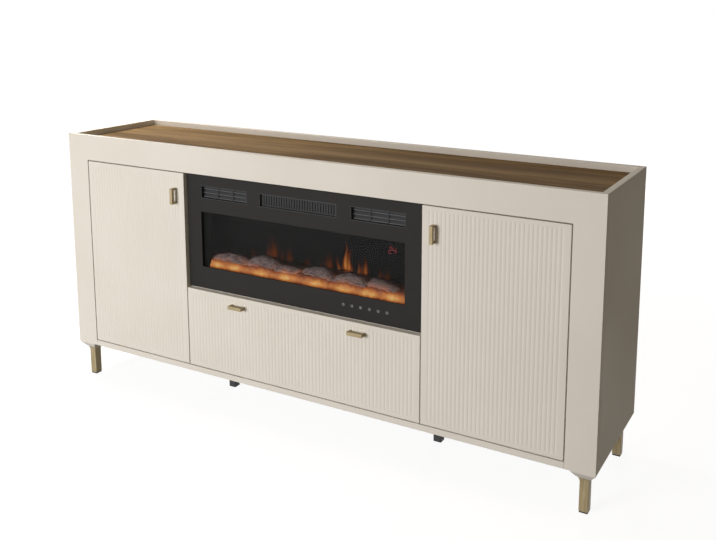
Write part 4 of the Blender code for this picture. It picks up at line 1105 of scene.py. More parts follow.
@dataclass
class FlutedFront:
    """A lacquered front with upright flutes inside a plain margin.

    Attributes:
        node: The CAD node that it stands for.
        body: The CAD body that it moves with.
    """

    node: str
    body: str
    margin: float = 12.0 * MM
    pitch: float = 12.0 * MM
    mouth: float = 7.0 * MM
    depth: float = 1.0 * MM
    crown: float = 0.1 * MM
    run_out: float = 4.0 * MM
    across: tuple[float, ...] = (-1.0, -0.66, -0.33, 0.0, 0.33, 0.66, 1.0)
    upwards: tuple[float, ...] = (0.0, 0.08, 0.25, 0.55, 1.0)
    ease: float = 1.2 * MM
    ease_steps: int = 3

    def columns(self, x: Span) -> list[Pair]:
        """Lists the places across the front and how deep the surface lies there.

        Args:
            x: Low and high X of the front.

        Returns:
            X and depth of each column, from left to right.
        """
        count = int((x[1] - x[0] - 2 * self.margin) / self.pitch + 0.001)
        start = middle(x) - (count - 1) * self.pitch / 2
        places = [(x[0] + self.ease, 0.0)]
        for index in range(count):
            centre = start + index * self.pitch
            places.append((centre - self.pitch / 2, 0.0))
            for share in self.across:
                hollow = (self.depth - self.crown) * (0.5 + 0.5 * math.cos(math.pi * share))
                places.append((centre + share * self.mouth / 2, self.crown + hollow))
        places.append((start + (count - 0.5) * self.pitch, 0.0))
        places.append((x[1] - self.ease, 0.0))
        return places

    def rows(self, z: Span) -> list[Pair]:
        """Lists the heights up the front and the share of the depth that the flutes have there.

        Args:
            z: Low and high Z of the front.

        Returns:
            Z and share of each row, from the bottom up.
        """
        shares = [(step, math.sqrt(1.0 - (1.0 - step) ** 2)) for step in self.upwards]
        low = [(z[0] + self.margin + self.run_out * step, share) for step, share in shares]
        high = [(z[1] - self.margin - self.run_out * step, share) for step, share in reversed(shares)]
        return [(z[0] + self.ease, 0.0), *low, *high, (z[1] - self.ease, 0.0)]

    def build(self, cuts: BMesh | None = None) -> None:
        """Builds the front as one closed skin.

        Args:
            cuts: Pockets to cut out of its back.
        """
        x, y, z = box_of(self.node)
        columns, rows = self.columns(x), self.rows(z)
        bm = bmesh.new()
        bmesh.ops.create_grid(bm, x_segments=len(columns) - 1, y_segments=len(rows) - 1, size=1.0)
        for vert in bm.verts:
            across, hollow = columns[round((vert.co.x + 1.0) / 2.0 * (len(columns) - 1))]
            height, share = rows[round((vert.co.y + 1.0) / 2.0 * (len(rows) - 1))]
            vert.co = (across, y[0] + hollow * share, height)
        reach, sink = 0.0, 0.0
        for step in range(1, self.ease_steps + 1):
            angle = math.pi / 2 * step / self.ease_steps
            out = self.ease * math.sin(angle) - reach
            back = self.ease * (1.0 - math.cos(angle)) - sink
            self.grow_rim(bm, out, back)
            reach, sink = reach + out, sink + back
        self.grow_rim(bm, 0.0, y[1] - y[0] - self.ease)
        bmesh.ops.holes_fill(bm, edges=open_edges(bm), sides=0)
        add_piece(f"fluted_{self.node}", bm, CREAM, (self.node,), self.body, cuts)

    def grow_rim(self, bm: BMesh, out: float, back: float) -> None:
        """Grows the skin by one strip all round.

        Args:
            bm: The skin, open at its rim.
            out: How far the strip goes outwards.
            back: How far it goes to the back.
        """
        verts = new_verts(bmesh.ops.extrude_edge_only(bm, edges=open_edges(bm))["geom"])
        places = {axis: [vert.co[axis] for vert in verts] for axis in (Axis.X, Axis.Z)}
        ends = {axis: (min(values), max(values)) for axis, values in places.items()}
        for vert in verts:
            vert.co.y += back
            for axis, (low, high) in ends.items():
                if vert.co[axis] < low + 1e-6:
                    vert.co[axis] -= out
                elif vert.co[axis] > high - 1e-6:
                    vert.co[axis] += out


@dataclass
class Pull:
    """A short square-section brass pull on two posts.

    Attributes:
        node: The CAD node that it stands for.
        body: The CAD body that it moves with.
        axis: The direction across its width.
    """

    node: str
    body: str
    axis: Axis
    bar: float = 10.0 * MM
    post: float = 7.0 * MM
    ease: float = 1.1 * MM

    def build(self) -> None:
        """Builds the pull from its bracket outline."""
        spans = box_of(self.node)
        y = spans[Axis.Y]
        ends = spans[Axis.Z if self.axis == Axis.X else Axis.X]
        gap = y[0] + self.bar
        inner = inset(ends, self.post)
        outline = [
            (ends[0], y[1]), (ends[0], y[0]), (ends[1], y[0]), (ends[1], y[1]),
            (inner[1], y[1]), (inner[1], gap), (inner[0], gap), (inner[0], y[1]),
        ]
        if self.axis == Axis.X:
            outline = [(out, place) for place, out in outline]
        bm = bmesh.new()
        prism(bm, outline, self.axis, spans[self.axis])
        round_corners(bm, self.ease)
        finish = BRASS if self.axis == Axis.X else BRASS_LEVEL
        add_piece(f"pull_{self.node}", bm, finish, (self.node,), self.body)


@dataclass
class Hinge:
    """One concealed hinge: a dish and link on the door, an arm and plate on the stile.

    Attributes:
        side: The door's side.
        row: Its place on the door, as the CAD nodes spell it.
    """

    side: Side
    row: str
    cup: float = 17.5 * MM
    wall: float = 1.4 * MM
    cup_ease: float = 0.8 * MM
    rim_ease: float = 0.4 * MM
    rim_drop: float = 0.3 * MM
    draft: float = 0.5 * MM
    lug: Span = (15.0 * MM, 26.0 * MM)
    lug_half: float = 8.0 * MM
    lug_corner: float = 3.0 * MM
    lug_screw: float = 20.5 * MM
    flange: float = 1.2 * MM
    gap: float = 0.3 * MM
    screw: float = 3.4 * MM
    screw_step: float = 0.4 * MM
    plate: float = 2.0 * MM
    plate_corner: float = 5.0 * MM
    plate_screw: float = 14.0 * MM
    arm_half: float = 7.0 * MM
    arm_sink: float = 0.5 * MM
    arm_bite: float = 1.0 * MM
    arm_end: float = 6.0 * MM
    arm_ease: float = 0.5 * MM
    arm_screws: Pair = (0.45, 0.75)
    arm_screw_sink: float = 1.4 * MM
    channel_wall: float = 1.6 * MM
    channel: float = 1.8 * MM

    @property
    def place(self) -> str:
        """The side and row, as the CAD nodes' names end."""
        return f"{self.side.word}_{self.row}"

    @property
    def centre(self) -> Pair:
        """X and Z of the dish's middle."""
        x, _, z = box_of(f"hinge_cup_{self.place}")
        return self.side.near(x) + self.side.value * self.cup, middle(z)

    def pocket(self, cuts: BMesh) -> None:
        """Adds the dish's pocket to the cuts of the door."""
        y = box_of(f"hinge_cup_{self.place}")[1]
        rod(cuts, self.centre, self.cup + self.gap, Axis.Y, (y[0] - self.gap, y[1]), 48)

    def build(self) -> None:
        """Builds the door's part and the stile's part."""
        self.dish()
        self.mounting()

    def dish(self) -> None:
        """Builds the dish in the door with its two lugs and the link to the arm."""
        node = f"hinge_cup_{self.place}"
        x, y, _ = box_of(node)
        across, up = self.centre
        rim = box_of(f"door_{self.side.word}")[1][1] + self.gap + self.flange
        floor = y[0] - rim
        inner = self.cup - self.wall
        profile = [
            (0.0, floor), (self.cup - self.cup_ease, floor), (self.cup, floor + self.cup_ease),
            (self.cup, -self.rim_drop), (self.cup - self.rim_ease, 0.0),
            (inner + self.rim_drop, 0.0), (inner, -self.rim_ease),
            (inner - self.draft, floor + self.wall), (0.0, floor + self.wall),
        ]
        bm = bmesh.new()
        turned(bm, profile, (across, up), Axis.Y, rim, 40)
        lug_x = around(across, self.lug_half)
        for sign in (-1, 1):
            lug_z = ordered(up + sign * self.lug[0], up + sign * self.lug[1])
            sheet(bm, lug_x, (rim - self.flange, rim), lug_z, self.lug_corner, 4)
            screw_head(bm, (across, up + sign * self.lug_screw), self.screw, Axis.Y, rim, 1)
        self.arm(bm, ordered(across, self.side.far(x)), (rim - self.arm_sink, y[1]), up)
        body = f"door_{self.side.word}_body"
        add_piece(f"hinge_dish_{self.place}", bm, ZINC, (node,), body)

    def mounting(self) -> None:
        """Builds the plate on the stile with the arm and its screws."""
        node = f"hinge_plate_{self.place}"
        x, y, z = box_of(node)
        up = self.centre[1]
        near = self.side.near(box_of(f"front_stile_{self.side.word}")[0])
        far, root = self.side.far(x), self.side.near(x)
        plate = (y[0], y[0] + self.plate)
        bm = bmesh.new()
        sheet(bm, ordered(near, far), plate, z, self.plate_corner, 5)
        tip = far - self.side.value * self.arm_end
        self.arm(bm, ordered(root, tip), (plate[0] + self.arm_bite, y[1]), up)
        for sign in (-1, 1):
            spot = (middle((near, far)), up + sign * self.plate_screw)
            screw_head(bm, spot, self.screw + self.screw_step, Axis.Y, plate[1], 1)
        for share in self.arm_screws:
            spot = (share_of((root, far), share), up)
            screw_head(bm, spot, self.screw - self.screw_step, Axis.Y, y[1] - self.arm_screw_sink, 1)
        add_piece(f"hinge_arm_{self.place}", bm, ZINC, (node,))

    def arm(self, bm: BMesh, x: Span, y: Span, up: float) -> None:
        """Adds a pressed arm: a rounded bar with a channel along its back.

        Args:
            bm: The mesh to add to.
            x: Low and high X.
            y: Front and back Y.
            up: Z of its middle.
        """
        own = bmesh.new()
        box(own, x, y, around(up, self.arm_half))
        top = [face for face in own.faces if face.normal.y > 0.5]
        bmesh.ops.inset_region(own, faces=top, thickness=self.channel_wall)
        made = bmesh.ops.extrude_face_region(own, geom=top)["geom"]
        bmesh.ops.translate(own, vec=(0.0, -self.channel, 0.0), verts=new_verts(made))
        round_corners(own, self.arm_ease, 2)
        absorb(bm, own)


def sheet(bm: BMesh, x: Span, y: Span, z: Span, corner: float, segments: int) -> None:
    """Adds a sheet square to Y with rounded corners.

    Args:
        bm: The mesh to add to.
        x: Low and high X.
        y: Front and back Y.
        z: Low and high Z.
        corner: Radius of the corners.
        segments: Steps round a corner.
    """
    own = bmesh.new()
    box(own, x, y, z)
    round_edges(own, [edge for edge in own.edges if edge_runs(edge, Axis.Y)], corner, segments)
    absorb(bm, own)


@dataclass
class Doors:
    """Both doors with their pulls and hinges."""

    def build(self) -> None:
        """Builds each door."""
        for side in Side:
            body = f"door_{side.word}_body"
            cuts = bmesh.new()
            for row in ("lower", "upper"):
                hinge = Hinge(side, row)
                hinge.pocket(cuts)
                hinge.build()
            FlutedFront(f"door_{side.word}", body).build(cuts)
            Pull(f"door_handle_{side.word}", body, Axis.X).build()


@dataclass
class Drawer:
    """The drawer: fluted front, pulls, box and the steel runners."""

    board: float = 12.0 * MM
    groove: float = 5.0 * MM
    groove_z: Span = (10.0 * MM, 15.6 * MM)
    ease: float = 0.8 * MM
    side_ease: float = 0.5 * MM
    runner_ease: float = 0.4 * MM
    runner_play: float = 2.0 * MM
    screw: float = 3.0 * MM
    screw_sink: float = 0.9 * MM
    screws: Size = (0.12, 0.5, 0.88)

    def build(self) -> None:
        """Builds the drawer and its runners."""
        FlutedFront("drawer_front", "drawer").build()
        for node in ("drawer_bottom", "drawer_back"):
            add_board(node, f"{node}_board", DRAWER_BOARD, self.ease, "drawer", 2)
        for side in Side:
            Pull(f"drawer_handle_{side.word}", "drawer", Axis.Z).build()
            self.side_board(side)
            refinish(ZINC, f"runner_outer_{side.word}", f"runner_middle_{side.word}")

    def side_board(self, side: Side) -> None:
        """Builds one grooved side board and the runner member on it.

        Args:
            side: The drawer's side.
        """
        node = f"drawer_side_{side.word}"
        x, y, z = box_of(node)
        inner, web = abs(side.near(x)), abs(side.far(x))
        outer = inner + self.board
        low, high = shifted(self.groove_z, z[0])
        corners = [
            (outer, z[0]), (outer, z[1]), (inner, z[1]), (inner, high),
            (inner + self.groove, high), (inner + self.groove, low), (inner, low), (inner, z[0]),
        ]
        bm = bmesh.new()
        prism(bm, [(side.value * across, up) for across, up in corners], Axis.Y, y)
        round_corners(bm, self.side_ease, 2)
        add_piece(f"{node}_board", bm, DRAWER_BOARD, (node,), "drawer")
        runner = box_of(f"runner_middle_{side.word}")[2]
        half = (runner[1] - runner[0]) / 2 - self.runner_play
        height = middle(runner)
        bm = bmesh.new()
        box(bm, side.span(outer, web), y, around(height, half), self.runner_ease, 2)
        for share in self.screws:
            seat = side.value * (web - self.screw_sink)
            screw_head(bm, (share_of(y, share), height), self.screw, Axis.X, seat, side.value)
        add_piece(f"runner_inner_{side.word}", bm, ZINC, body="drawer")


# Electric fire


@dataclass
class FirePlate:
    """The charcoal plate round the window, with its vents, louvres, grille and marks."""

    plate: float = 5.0 * MM
    plate_ease: float = 0.7 * MM
    window: Span = (-0.355, 0.352)
    sill: float = 70.0 * MM
    window_height: float = 174.0 * MM
    vent_drop: float = 35.0 * MM
    vent_height: float = 37.0 * MM
    centre_vent: Span = (-0.132, 0.132)
    side_vent_inner: float = 0.182
    liner: float = 1.2 * MM
    liner_step: float = 0.5 * MM
    blades: int = 3
    blade: float = 1.4 * MM
    blade_depth: float = 4.0 * MM
    blade_rise: float = 9.0 * MM
    lip_y: Span = (-0.3 * MM, 1.2 * MM)
    lip_z: Span = (-0.2 * MM, 2.0 * MM)
    lip_ease: float = 0.3 * MM
    posts: int = 2
    post: float = 7.0 * MM
    post_step: float = 0.6 * MM
    post_ease: float = 0.4 * MM
    slat_pitch: float = 9.0 * MM
    slat_slot: float = 2.0 * MM
    slat_border: float = 4.0 * MM
    slat_recess: float = 2.5 * MM
    slat_ease: float = 0.4 * MM
    signs: tuple[str, ...] = ("bar", "dot", "plus", "minus", "dots", "bar")
    first_mark: float = 0.156
    mark_pitch: float = 28.4 * MM
    mark_lift: float = 37.5 * MM
    mark_radius: float = 4.0 * MM
    mark_line: float = 0.8 * MM
    ink_y: Span = (-0.12 * MM, 0.2 * MM)
    sign_half: float = 0.45 * MM
    sign_reach: float = 1.9 * MM
    dot: float = 0.9 * MM
    dot_spread: float = 1.3 * MM

    def build(self) -> None:
        """Builds the plate and everything on it."""
        x, y, z = box_of("fire_fascia")
        self.front = y[0]
        vent_high = z[1] - self.vent_drop
        self.vent_z = (vent_high - self.vent_height, vent_high)
        window_low = z[0] + self.sill
        side_vents = [side.span(self.side_vent_inner, self.window[1]) for side in Side]
        vents = [*side_vents, self.centre_vent]
        outer = [(inset(vent, -self.liner), inset(self.vent_z, -self.liner)) for vent in vents]
        window = (self.window, (window_low, window_low + self.window_height))
        depth = (self.front, self.front + self.plate)
        bm = pierced_plate(x, depth, z, [*outer, window], self.plate_ease)
        add_piece("fire_plate", bm, CHARCOAL, ("fire_fascia",))
        bm = bmesh.new()
        depth = (self.front + self.liner_step, y[1])
        for vent, (across, height) in zip(vents, outer):
            absorb(bm, pierced_plate(across, depth, height, [(vent, self.vent_z)]))
        # The liners are black to paint shade on the vents' inner walls.
        add_piece("vent_liners", bm, BLACK_ABS)
        self.louvres(side_vents, y[1])
        self.grille()
        self.touch_marks(z[0] + self.mark_lift)

    def louvres(self, vents: Sequence[Span], back: float) -> None:
        """Adds the sloped blades of each side vent, their lips painted pale as a highlight and the posts
        that divide them.

        Args:
            vents: X spans of the two vents.
            back: Y of the liners' back.
        """
        blades, lips, posts = bmesh.new(), bmesh.new(), bmesh.new()
        pitch = self.vent_height / self.blades
        tip = back - self.blade_depth
        for vent in vents:
            for number in range(self.blades):
                low = self.vent_z[0] + pitch * (number + 0.5) - self.blade_rise / 2
                high = low + self.blade_rise
                outline = [(tip, low), (back, high), (back, high + self.blade), (tip, low + self.blade)]
                prism(blades, outline, Axis.X, vent)
                box(lips, vent, shifted(self.lip_y, tip), shifted(self.lip_z, low), self.lip_ease, 2)
            for number in range(1, self.posts + 1):
                centre = vent[0] + (vent[1] - vent[0]) * number / (self.posts + 1)
                across = around(centre, self.post / 2)
                box(posts, across, (tip - self.post_step, back), self.vent_z, self.post_ease, 2)
        add_piece("side_louvres", blades, GREY_COAT)
        # The lips' pale coat is a painted highlight on the blades' front edges.
        add_piece("louvre_lips", lips, HIGHLIGHT_LIP_COAT)
        add_piece("louvre_posts", posts, GREY_COAT)

    def grille(self) -> None:
        """Builds the slatted grille in the centre vent."""
        x, y, z = box_of("outlet_grille")
        field, height = inset(x, self.slat_border), inset(z, self.slat_border)
        count = int((field[1] - field[0]) / self.slat_pitch + 0.001)
        start = middle(x) - (count - 1) * self.slat_pitch / 2
        centres = [start + index * self.slat_pitch for index in range(count)]
        slots = [(around(centre, self.slat_slot / 2), height) for centre in centres]
        bm = pierced_plate(x, shifted(y, self.slat_recess), z, slots, self.slat_ease)
        add_piece("outlet_slats", bm, GREY_COAT, ("outlet_grille",))

    def touch_marks(self, height: float) -> None:
        """Prints the six touch marks: a ring with a plain sign in it.

        Args:
            height: Z of the marks' middles.
        """
        bm = bmesh.new()
        ink = shifted(self.ink_y, self.front)
        length = ink[1] - ink[0]
        outer, inner = self.mark_radius, self.mark_radius - self.mark_line
        ring = [(inner, 0.0), (outer, 0.0), (outer, length), (inner, length), (inner, 0.0)]
        for index, sign in enumerate(self.signs):
            across = self.first_mark + index * self.mark_pitch
            turned(bm, ring, (across, height), Axis.Y, ink[0], 28)
            if sign in ("plus", "minus"):
                box(bm, around(across, self.sign_reach), ink, around(height, self.sign_half))
            if sign in ("plus", "bar"):
                box(bm, around(across, self.sign_half), ink, around(height, self.sign_reach))
            if sign in ("dot", "dots"):
                spread = self.dot_spread if sign == "dots" else 0.0
                for shift in sorted({-spread, spread}):
                    rod(bm, (across + shift, height), self.dot, Axis.Y, ink, 12)
        add_piece("touch_marks", bm, GREY_INK)


@dataclass
class Display:
    """Two red seven-segment digits behind the pane, and the block that carries them."""

    digits: str = "24"
    size: Pair = (9.5 * MM, 17.0 * MM)
    pitch: float = 13.0 * MM
    left: float = 0.2965
    low: float = 0.6020
    stroke: float = 1.7 * MM
    shorter_by_mm: float = 0.4
    slant: float = 0.10
    depth: Span = (-0.1 * MM, 0.2 * MM)
    dot: float = 0.8 * MM
    dot_share: float = 0.75
    dot_lift: float = 4.0 * MM
    hood_gap: float = 0.2 * MM
    hood_ease: float = 0.8 * MM
    hood_x: Span = (0.288, 0.3495)
    hood_z: Span = (0.597, 0.630)

    SEGMENTS = {
        "top": ((0.0, 1.0), (1.0, 1.0)), "upper_left": ((0.0, 0.5), (0.0, 1.0)),
        "middle": ((0.0, 0.5), (1.0, 0.5)), "upper_right": ((1.0, 0.5), (1.0, 1.0)),
        "bottom": ((0.0, 0.0), (1.0, 0.0)), "lower_left": ((0.0, 0.0), (0.0, 0.5)),
        "lower_right": ((1.0, 0.0), (1.0, 0.5)),
    }
    LIT = {
        "2": ("top", "upper_right", "middle", "lower_left", "bottom"),
        "4": ("upper_left", "upper_right", "middle", "lower_right"),
    }

    def build(self) -> None:
        """Builds the hood, the lit segments and a dot above them."""
        face = box_of("fire_glass")[1][1] + self.hood_gap
        bm = bmesh.new()
        box(bm, self.hood_x, (face, box_of("control_board")[1][1]), self.hood_z, self.hood_ease)
        add_piece("display_hood", bm, DARK_FILM)
        bm = bmesh.new()
        for number, digit in enumerate(self.digits):
            for name in self.LIT[digit]:
                self.segment(bm, self.left + number * self.pitch, name, face)
        spot = (self.left + self.dot_share * self.pitch, self.low + self.size[1] + self.dot_lift)
        rod(bm, spot, self.dot, Axis.Y, shifted(self.depth, face), 12)
        add_piece("red_digits", bm, RED_LAMP)
        refinish(CIRCUIT, "control_board")

    def segment(self, bm: BMesh, left: float, name: str, face: float) -> None:
        """Adds one segment as a bar with pointed ends.

        Args:
            bm: The mesh to add to.
            left: X of the digit's left end.
            name: The segment's name.
            face: Y of the block's front.
        """
        ends = []
        for across, up in self.SEGMENTS[name]:
            rise = up * self.size[1]
            ends.append(Vector((left + across * self.size[0] + rise * self.slant, self.low + rise)))
        start, end = ends
        line = (end - start).normalized()
        side = Vector((-line.y, line.x)) * self.stroke / 2
        shorter = line * self.shorter_by_mm * MM
        start, end = start + shorter, end - shorter
        cut = line * self.stroke / 2
        corners = [start, start + cut - side, end - cut - side, end, end - cut + side, start + cut + side]
        prism(bm, [tuple(corner) for corner in corners], Axis.Y, shifted(self.depth, face))


@dataclass
class FireBed:
    """The glowing ember bed, the logs on it and the flame picture behind them."""

    lamps: tuple[float, ...] = (-0.321, -0.255, -0.150, -0.060, 0.046, 0.142, 0.225, 0.3015)
    lamp_z: float = 0.468
    lamp_reach: float = 0.026
    band: float = 0.023
    band_start: float = 4.0 * MM
    band_depth: float = 0.016
    shares: Size = (0.50, 0.30, 0.25)
    crest: float = 30.0 * MM
    bed_cuts: int = 229
    still_below: float = 0.455
    still_behind: float = 32.0 * MM
    lump: float = 11.0 * MM
    pit: Pair = (5.0 * MM, 3.2 * MM)
    ripple: float = 1.0 * MM
    seed: int = 11
    log_cuts: int = 23
    voxel: float = 1.6 * MM
    bark_waves: Size = (45.0, 170.0, 170.0)
    bark_rise_mm: float = 1.3
    cast_depth: float = 14.0 * MM
    lit_below: float = 0.511
    lit_depth: float = 0.028

    def build(self) -> None:
        """Builds the bed, the logs and the flames."""
        self.front = box_of("ember_bed")[1][0]
        self.bed()
        self.logs()
        self.flames()
        refinish(DARK_FILM, "flame_screen")
        refinish(TINTED_GLASS, "fire_glass")

    def heat_of(self, place: Vector) -> float:
        """Returns how brightly the lamps light a place in the bed.

        Args:
            place: A point of the bed or of what lies on it.

        Returns:
            Heat from 0 to 1.
        """
        near = max(math.exp(-((place.x - lamp) / self.lamp_reach) ** 2) for lamp in self.lamps)
        rise = (place.z - self.lamp_z) / self.band
        band = math.exp(-rise * rise) if rise > 0.0 else math.exp(-4.0 * rise * rise)
        flow = 0.5 + 0.5 * noise.noise(place * 60.0)
        back = max(0.0, place.y - self.front - self.band_start) / self.band_depth
        even, by_lamps, by_flow = self.shares
        return min(1.0, band * math.exp(-back * back) * (even + by_lamps * near + by_flow * flow))

    # The bed's slope: millimetres back from its front, and the height there
    SLOPE = (
        (0.0, 0.452), (1.0, 0.4575), (2.0, 0.463), (3.2, 0.4675), (4.8, 0.472), (6.6, 0.476),
        (8.8, 0.480), (11.5, 0.4835), (15.0, 0.4865), (19.0, 0.489), (24.0, 0.492),
    )

    def bed(self) -> None:
        """Builds the bed of cast lumps with its glow."""
        x, y, z = box_of("ember_bed")
        slope = [(y[0] + back * MM, height) for back, height in self.SLOPE]
        bm = bmesh.new()
        section = [(y[0], z[0]), *slope, (y[0] + self.crest, z[1]), (y[1], z[1]), (y[1], z[0])]
        prism(bm, section, Axis.X, x)
        sides = [edge for edge in bm.edges if edge_runs(edge, Axis.X)]
        bmesh.ops.subdivide_edges(bm, edges=sides, cuts=self.bed_cuts, use_grid_fill=True)
        for vert in bm.verts:
            place = vert.co.copy()
            if place.z < self.still_below or place.y > y[0] + self.still_behind:
                continue
            distances, _ = noise.voronoi(place / self.lump)
            hollow = min(1.0, distances[0] * 1.25) ** 1.5
            vert.co.y += self.pit[0] * hollow
            vert.co.z -= self.pit[1] * hollow - self.ripple * noise.noise(place * 45.0)
        self.paint(bm, self.heat_of)
        add_piece("ember_lumps", bm, EMBER, ("ember_bed",), soft=True)

    def paint(self, bm: BMesh, rule: Callable[[Vector], float]) -> None:
        """Writes the glow of every vertex into the mesh: lamp light in the bed, painted light of the bed on
        the logs.

        Args:
            bm: The mesh.
            rule: Gives the glow of a place.
        """
        layer = bm.verts.layers.float.get(GLOW_ATTRIBUTE) or bm.verts.layers.float.new(GLOW_ATTRIBUTE)
        for vert in bm.verts:
            vert[layer] = rule(vert.co)

    # Each log's outline from the left: X and top, then its place back from the bed's front
    LOGS = (
        (((-0.352, 0.483), (-0.330, 0.497), (-0.282, 0.505), (-0.235, 0.502), (-0.208, 0.492)), 0.030, 17.0),
        (((-0.214, 0.493), (-0.190, 0.508), (-0.162, 0.515), (-0.128, 0.510), (-0.098, 0.497)), 0.034, 19.0),
        (((-0.104, 0.492), (-0.085, 0.500), (-0.055, 0.500), (-0.030, 0.497), (-0.016, 0.490)), 0.026, 14.0),
        (((-0.030, 0.486), (0.000, 0.500), (0.030, 0.509), (0.065, 0.512), (0.100, 0.492)), 0.034, 18.0),
        (((0.094, 0.489), (0.120, 0.503), (0.152, 0.510), (0.185, 0.505), (0.212, 0.493)), 0.030, 17.0),
        (((0.206, 0.492), (0.228, 0.508), (0.255, 0.505), (0.295, 0.497), (0.330, 0.484)), 0.032, 17.0),
    )

    def logs(self) -> None:
        """Builds the set of logs as one cast skin and cuts it flat for the ledge."""
        draw = random.Random(self.seed)
        bm = bmesh.new()
        for stations, back, radius in self.LOGS:
            self.log(bm, stations, self.front + back, radius * MM, draw)
        rough = put_in_scene("rough_logs", to_mesh(bm, "rough_logs"))
        skin = rough.modifiers.new("skin", "REMESH")
        skin.mode = "VOXEL"
        skin.voxel_size = self.voxel
        bake_modifiers(rough)
        bm = bmesh.new()
        bm.from_mesh(rough.data)
        bpy.data.meshes.remove(rough.data)
        for vert in bm.verts:
            waves = [place * wave for place, wave in zip(vert.co, self.bark_waves)]
            ridge = noise.fractal(Vector(waves), 1.0, 2.0, 3)
            vert.co += vert.normal * ridge * self.bark_rise_mm * MM
        floor = (0.0, 0.0, box_of("ember_bed")[2][1] - self.cast_depth)
        geometry = bm.verts[:] + bm.edges[:] + bm.faces[:]
        bmesh.ops.bisect_plane(bm, geom=geometry, plane_co=floor, plane_no=(0.0, 0.0, 1.0), clear_inner=True)
        bmesh.ops.holes_fill(bm, edges=open_edges(bm), sides=0)
        # The logs carry a painted glow of the bed's light on their undersides.
        self.paint(bm, self.log_heat)
        add_piece("bark_logs", bm, BARK, ("log_set",), soft=True)

    def log_heat(self, place: Vector) -> float:
        """Returns the painted light of the bed on the underside of a log."""
        low = max(0.0, min(1.0, (self.lit_below - place.z) / self.lit_depth))
        return low * (0.55 + 0.45 * noise.noise(place * 40.0 + Vector((7.0, 3.0, 1.0))))

    def log(self, bm: BMesh, stations: Sequence[Pair], y: float, radius: float, draw: random.Random) -> None:
        """Adds one log whose top follows its outline.

        Args:
            bm: The mesh to add to.
            stations: X and top Z along the log.
            y: Y of its middle.
            radius: Its usual radius.
            draw: Source of its irregular shape.
        """
        length = stations[-1][0] - stations[0][0]
        own = bmesh.new()
        rod(own, (0.0, 0.0), 1.0, Axis.X, (0.0, 1.0), 18)
        sides = [edge for edge in own.edges if edge_runs(edge, Axis.X)]
        bmesh.ops.subdivide_edges(own, edges=sides, cuts=self.log_cuts, use_grid_fill=True)
        turn = draw.uniform(-0.10, 0.10)
        lobes = [draw.uniform(0.86, 1.10) for _ in range(7)]
        for vert in own.verts:
            share = vert.co.x
            angle = math.atan2(vert.co.z, vert.co.y)
            lobe = lobes[int((angle / math.tau + 0.5) * 6.99)]
            end = min(share, 1.0 - share) / 0.10
            taper = 1.0 if end > 1.0 else 0.72 + 0.28 * math.sqrt(max(0.0, 1.0 - (1.0 - end) ** 2))
            reach = radius * taper * (0.75 + 0.25 * lobe)
            top = self.follow(stations, share)
            vert.co = (
                stations[0][0] + length * share,
                y + (share - 0.5) * length * turn + reach * math.cos(angle),
                top - reach + reach * math.sin(angle),
            )
        absorb(bm, own)

    def follow(self, stations: Sequence[Pair], share: float) -> float:
        """Returns the top of a log at a share of its length.

        Args:
            stations: X and top Z along the log.
            share: Place along it, from 0 to 1.

        Returns:
            The height there.
        """
        x = share_of((stations[0][0], stations[-1][0]), share)
        for (low, start), (high, end) in zip(stations, stations[1:]):
            if x <= high:
                step = (x - low) / (high - low)
                return start + (end - start) * step * step * (3.0 - 2.0 * step)
        return stations[-1][1]

    # Each tongue of flame: X of its foot, foot and tip Z, half width in millimetres, lean and heat
    FLAMES = (
        (-0.158, 0.492, 0.582, 28.0, 0.05, 0.46), (-0.096, 0.492, 0.552, 16.0, 0.10, 0.46),
        (0.050, 0.492, 0.560, 20.0, -0.05, 0.44), (0.168, 0.492, 0.550, 20.0, 0.05, 0.48),
        (-0.315, 0.490, 0.545, 12.0, 0.00, 0.26), (-0.232, 0.490, 0.530, 14.0, 0.08, 0.38),
        (-0.028, 0.490, 0.530, 15.0, -0.05, 0.40), (0.245, 0.490, 0.530, 14.0, 0.05, 0.42),
        (0.112, 0.494, 0.550, 24.0, -0.05, 0.66), (0.115, 0.494, 0.572, 13.0, 0.06, 0.78),
        (0.108, 0.494, 0.596, 8.0, -0.06, 0.86), (-0.150, 0.500, 0.562, 9.0, -0.10, 0.50),
        (-0.176, 0.500, 0.548, 7.0, 0.10, 0.42), (-0.122, 0.492, 0.550, 6.5, 0.18, 0.42),
        (0.176, 0.492, 0.556, 8.0, -0.12, 0.66), (0.150, 0.492, 0.542, 7.5, 0.10, 0.60),
        (0.084, 0.492, 0.548, 7.0, -0.12, 0.60), (0.052, 0.496, 0.545, 7.5, 0.12, 0.46),
        (0.020, 0.492, 0.530, 6.5, 0.05, 0.38), (0.222, 0.490, 0.533, 7.5, 0.10, 0.45),
    )

    def flames(self) -> None:
        """Builds the tongues of the flame picture as thin sheets on the screen."""
        screen = box_of("flame_screen")[1][0]
        bm = bmesh.new()
        layer = bm.verts.layers.float.new(GLOW_ATTRIBUTE)
        for number, (foot_x, foot_z, tip_z, half, lean, glow_amount) in enumerate(self.FLAMES):
            verts = bmesh.ops.create_grid(bm, x_segments=10, y_segments=26, size=1.0)["verts"]
            for vert in verts:
                across, rise = vert.co.x, (vert.co.y + 1.0) / 2.0
                swell = 0.6 + 1.1 * rise ** 0.5 * (1.0 - 0.35 * rise)
                width = 1.5 * half * MM * (1.0 - rise) ** 0.75 * swell
                height = tip_z - foot_z
                sway = 0.10 * height * math.sin(5.0 * rise + number * 1.7) * rise
                edge = 1.0 - across * across
                vert[layer] = glow_amount * edge ** 1.2 * (1.0 - 0.72 * rise) * min(1.0, 0.35 + 4.0 * rise)
                vert.co = (
                    foot_x + lean * height * rise + sway + across * width,
                    screen - (0.12 + 0.02 * number) * MM,
                    foot_z + height * rise,
                )
        add_piece("flame_picture", bm, FLAME, soft=True)


